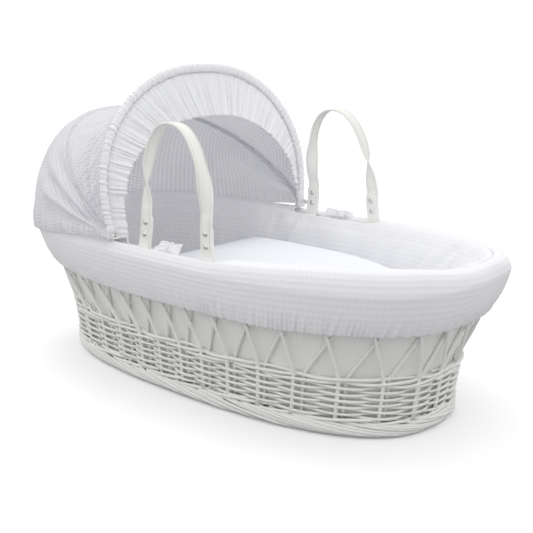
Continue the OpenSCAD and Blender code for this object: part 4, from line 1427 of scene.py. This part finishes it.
def frill_mesh(name, sizes, cloth):
    """The pleated frill that stands inward from the front hoop and leans forward."""
    pleats = sizes.pleats
    cols, rows = pleats * 12 + 1, 31
    f, long = even_angles(cols, 1.2, FRONT_HALF, sizes.front_height)
    deep = (FRILL_SIDE + (FRILL_TOP - FRILL_SIDE) * np.sin(f) ** np.where(f < np.pi / 2, 1.4, 0.8)) * MM
    share = np.linspace(0, 1, rows)[:, None]
    root = sizes.casing + 1.0 * MM
    inward = root + share * (deep[None] - root)
    forward = (18 * share**1.2 - 3.5 * np.exp(-16 * share)) * MM
    points = hoop_line(f[None], FRONT_HALF, sizes.front_height, FRONT_TILT, -inward, forward)
    points[..., 2] -= FRILL_TAIL * ease(1 - np.sin(f[None]) / 0.3)
    run = np.linspace(0, long, cols)[None, :]
    wander = run + 2.6 * MM * drift(run, 26 * MM, 91) + 1.2 * MM * share * drift(run, 40 * MM, 92)
    phase = 2 * np.pi * wander * pleats / long
    wave = np.sin(phase) + 0.28 * np.sin(2 * phase + 1.0)
    depth = (0.9 + 1.3 * ease(share * 1.6)) * MM * (1 + 0.45 * drift(run, 30 * MM, 93))
    lift = depth * wave + 2.5 * MM * drift(run, 55 * MM, 94) * share
    front = skewed(math.cos(FRONT_TILT), 0.0, math.sin(FRONT_TILT)) - skewed(0.0, 0.0, 0.0)
    down = share * (deep[None] - root)
    fine = cloth.relief * (waffle_relief(run * 1.4, down, cloth.cell * 0.8) - 0.5)
    hem = 1.2 * MM * ease((share - 0.93) / 0.03) * ease((1 - share) / 0.02 + 0.3)
    points = points + front * (lift + fine + hem)[..., None]
    uv = np.stack(np.broadcast_arrays(run * 1.4, down + 0 * run), axis=-1) * 1.25
    return grid_mesh(name, points, uv, turn_out=False), (long, float(deep.max() - root))


class MOSES_OT_hood_frame(bpy.types.Operator):
    """Finishes the hood's wire hoops, clips, pins and hem elastic."""

    bl_idname = "moses.hood_frame"
    bl_label = "Hood frame"

    def execute(self, context):
        wire = plain_finish("hood_wire", "#E3E4E6", 0.35, 3 * MM, 0.05 * MM)
        clip = plain_finish("clip_plastic", "#EDEDED", 0.45, 0.8 * MM, 0.08 * MM)
        for node in ("front_hoop", "rear_hoop"):
            dress_cad(node, wire)
        for node in ("near_hood_clip", "far_hood_clip"):
            dress_cad(node, clip)
        dress_cad("hood_pins", nickel_finish())
        f, _ = even_angles(160, 4, REAR_HALF, context.scene.moses_hood.rear_height)
        elastic = plain_finish("elastic", "#F2F2F2", 0.8, 1.5 * MM, 0.3 * MM)
        rod = (hem_line(f, 0.0), 0.9 * MM, (0, 0, 1))
        add_piece("hood_hem_elastic", rods_mesh("hood_hem_elastic", [rod], 8), elastic, "basket",
                  ["hood_elastic"])
        return {"FINISHED"}


class MOSES_OT_canopy(bpy.types.Operator):
    """Stretches the hood's roof and back over the hoops."""

    bl_idname = "moses.canopy"
    bl_label = "Canopy"

    def execute(self, context):
        cloth = context.scene.moses_cloth
        sizes = context.scene.moses_hood
        # Painted shade: the pit colour darkens the waffle's pits on the roof and back, lighter than on the
        # padded pieces
        ridge, shaded_pit = linear("#F8F8FA"), linear("#E4E4EB")
        finish = waffle_finish("waffle_single", 0.8 * cloth.cell, ridge, shaded_pit, glow=0.27)
        mesh = canopy_top_mesh("canopy_roof", sizes, cloth)
        roof = add_piece("canopy_roof", mesh, finish, None, ["canopy_top"])
        mesh = canopy_back_mesh("canopy_back_cloth", sizes, cloth)
        back = add_piece("canopy_back_cloth", mesh, finish, None, ["canopy_back"])
        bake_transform(roof)
        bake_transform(back)
        mesh = casing_mesh("rear_casing", REAR_HALF, sizes.rear_height, REAR_TILT, 4.2 * MM, 3.6 * MM, 1, 96,
                           2 * MM)
        add_piece("rear_casing", mesh, finish, "hood_rear")
        return {"FINISHED"}


class MOSES_OT_frill(bpy.types.Operator):
    """Gathers the frill on the front hoop."""

    bl_idname = "moses.frill"
    bl_label = "Frill"

    def execute(self, context):
        cloth = context.scene.moses_cloth
        sizes = context.scene.moses_hood
        finish = waffle_finish("waffle_cotton", cloth.cell, cloth.ridge, cloth.shaded_pit)
        mesh = casing_mesh("front_casing", FRONT_HALF, sizes.front_height, FRONT_TILT, sizes.casing,
                           sizes.casing * 0.72, 0.8, 97, 19 * MM)
        add_piece("front_casing", mesh, finish, "hood_front", ["frill_casing"])
        mesh, flat = frill_mesh("pleated_frill", sizes, cloth)
        piece = add_piece("pleated_frill", mesh, finish, "hood_front", ["frill"])
        thicken(piece, 1.0 * MM)
        return {"FINISHED"}


# ---- Stage ----------------------------------------------------------------------------------------

EYE = Vector((0.98422, -1.06710, 0.53182))
TARGET = Vector((0.0, 0.0, 0.14))
LENS = 62.39


def studio_finish():
    """A white floor that throws less light back up than it shows."""
    made, tree, shader = new_finish("studio_white")
    seen = add_node(tree, "ShaderNodeLightPath", {}).outputs["Is Camera Ray"]
    tint = add_node(
        tree, "ShaderNodeMix", {"Factor": seen, "A": (0.4, 0.4, 0.41, 1.0), "B": (1.0, 1.0, 1.0, 1.0)},
        data_type="RGBA",
    )
    tree.links.new(colour_out(tint), shader.inputs["Base Color"])
    shader.inputs["Roughness"].default_value = 0.9
    shader.inputs["Specular IOR Level"].default_value = 0.0
    shader.inputs["Emission Color"].default_value = (1.0, 1.0, 1.0, 1.0)
    tree.links.new(math_of(tree, "MULTIPLY", seen, 0.14), shader.inputs["Emission Strength"])
    return made


class MOSES_OT_stage(bpy.types.Operator):
    """Sets the white floor, the soft lights and the camera."""

    bl_idname = "moses.stage"
    bl_label = "Stage"

    def execute(self, context):
        scene = context.scene
        bm = bmesh.new()
        bmesh.ops.create_grid(bm, x_segments=8, y_segments=8, size=14)
        mesh = bpy.data.meshes.new("studio_floor")
        bm.to_mesh(mesh)
        bm.free()
        floor = bpy.data.objects.new("studio_floor", mesh)
        scene.collection.objects.link(floor)
        mesh.materials.append(studio_finish())
        world = bpy.data.worlds.new("soft_box")
        world.use_nodes = True
        back = world.node_tree.nodes["Background"]
        back.inputs["Color"].default_value = (1.0, 1.0, 1.0, 1.0)
        back.inputs["Strength"].default_value = 1.0
        scene.world = world
        for name, place, aim, size, power in (
            ("key", (-0.9, 0.3, 2.6), (0, 0, 0.1), 1.6, 8),
            ("fill", (-1.8, -2.4, 1.4), (0, 0, 0.2), 2.0, 2),
        ):
            data = bpy.data.lights.new(name, "AREA")
            data.shape = "SQUARE"
            data.size = size
            data.energy = power
            light = bpy.data.objects.new(name, data)
            scene.collection.objects.link(light)
            light.location = place
            light.rotation_euler = (Vector(aim) - Vector(place)).to_track_quat("-Z", "Y").to_euler()
        camera_data = bpy.data.cameras.new("camera")
        camera_data.lens = LENS
        camera_data.sensor_width = 36
        camera_data.shift_x = 0.034
        camera_data.shift_y = 0.035
        camera_data.clip_end = 60
        camera = bpy.data.objects.new("camera", camera_data)
        scene.collection.objects.link(camera)
        camera.location = EYE
        camera.rotation_euler = (TARGET - EYE).to_track_quat("-Z", "Y").to_euler()
        scene.camera = camera
        scene.view_settings.view_transform = "Standard"
        return {"FINISHED"}


# ---- Add-on ---------------------------------------------------------------------------------------

OPERATORS = (
    MOSES_OT_floor,
    MOSES_OT_wall,
    MOSES_OT_lattice,
    MOSES_OT_rim,
    MOSES_OT_lining,
    MOSES_OT_mattress,
    MOSES_OT_coverlet,
    MOSES_OT_bumper,
    MOSES_OT_skirt,
    MOSES_OT_ties,
    MOSES_OT_handles,
    MOSES_OT_hood_frame,
    MOSES_OT_canopy,
    MOSES_OT_frill,
    MOSES_OT_stage,
)
GROUPS = {
    "moses_wicker": MosesWicker,
    "moses_cloth": MosesCloth,
    "moses_handles": MosesHandles,
    "moses_hood": MosesHood,
}


class MOSES_PT_panel(bpy.types.Panel):
    """Lists the settings and the pieces."""

    bl_idname = "MOSES_PT_panel"
    bl_label = "Moses basket"
    bl_space_type = "VIEW_3D"
    bl_region_type = "UI"
    bl_category = "Moses basket"

    def draw(self, context):
        for name, group in GROUPS.items():
            box = self.layout.box()
            for setting in group.__annotations__:
                box.prop(getattr(context.scene, name), setting)
        for operator in OPERATORS:
            self.layout.operator(operator.bl_idname)


def register():
    for group in GROUPS.values():
        bpy.utils.register_class(group)
    for name, group in GROUPS.items():
        setattr(bpy.types.Scene, name, bpy.props.PointerProperty(type=group))
    for operator in OPERATORS:
        bpy.utils.register_class(operator)
    bpy.utils.register_class(MOSES_PT_panel)


def unregister():
    bpy.utils.unregister_class(MOSES_PT_panel)
    for operator in reversed(OPERATORS):
        bpy.utils.unregister_class(operator)
    for name in GROUPS:
        delattr(bpy.types.Scene, name)
    for group in reversed(list(GROUPS.values())):
        bpy.utils.unregister_class(group)


def main():
    register()
    for operator in OPERATORS:
        section, name = operator.bl_idname.split(".")
        getattr(getattr(bpy.ops, section), name)()


if __name__ == "__main__":
    main()
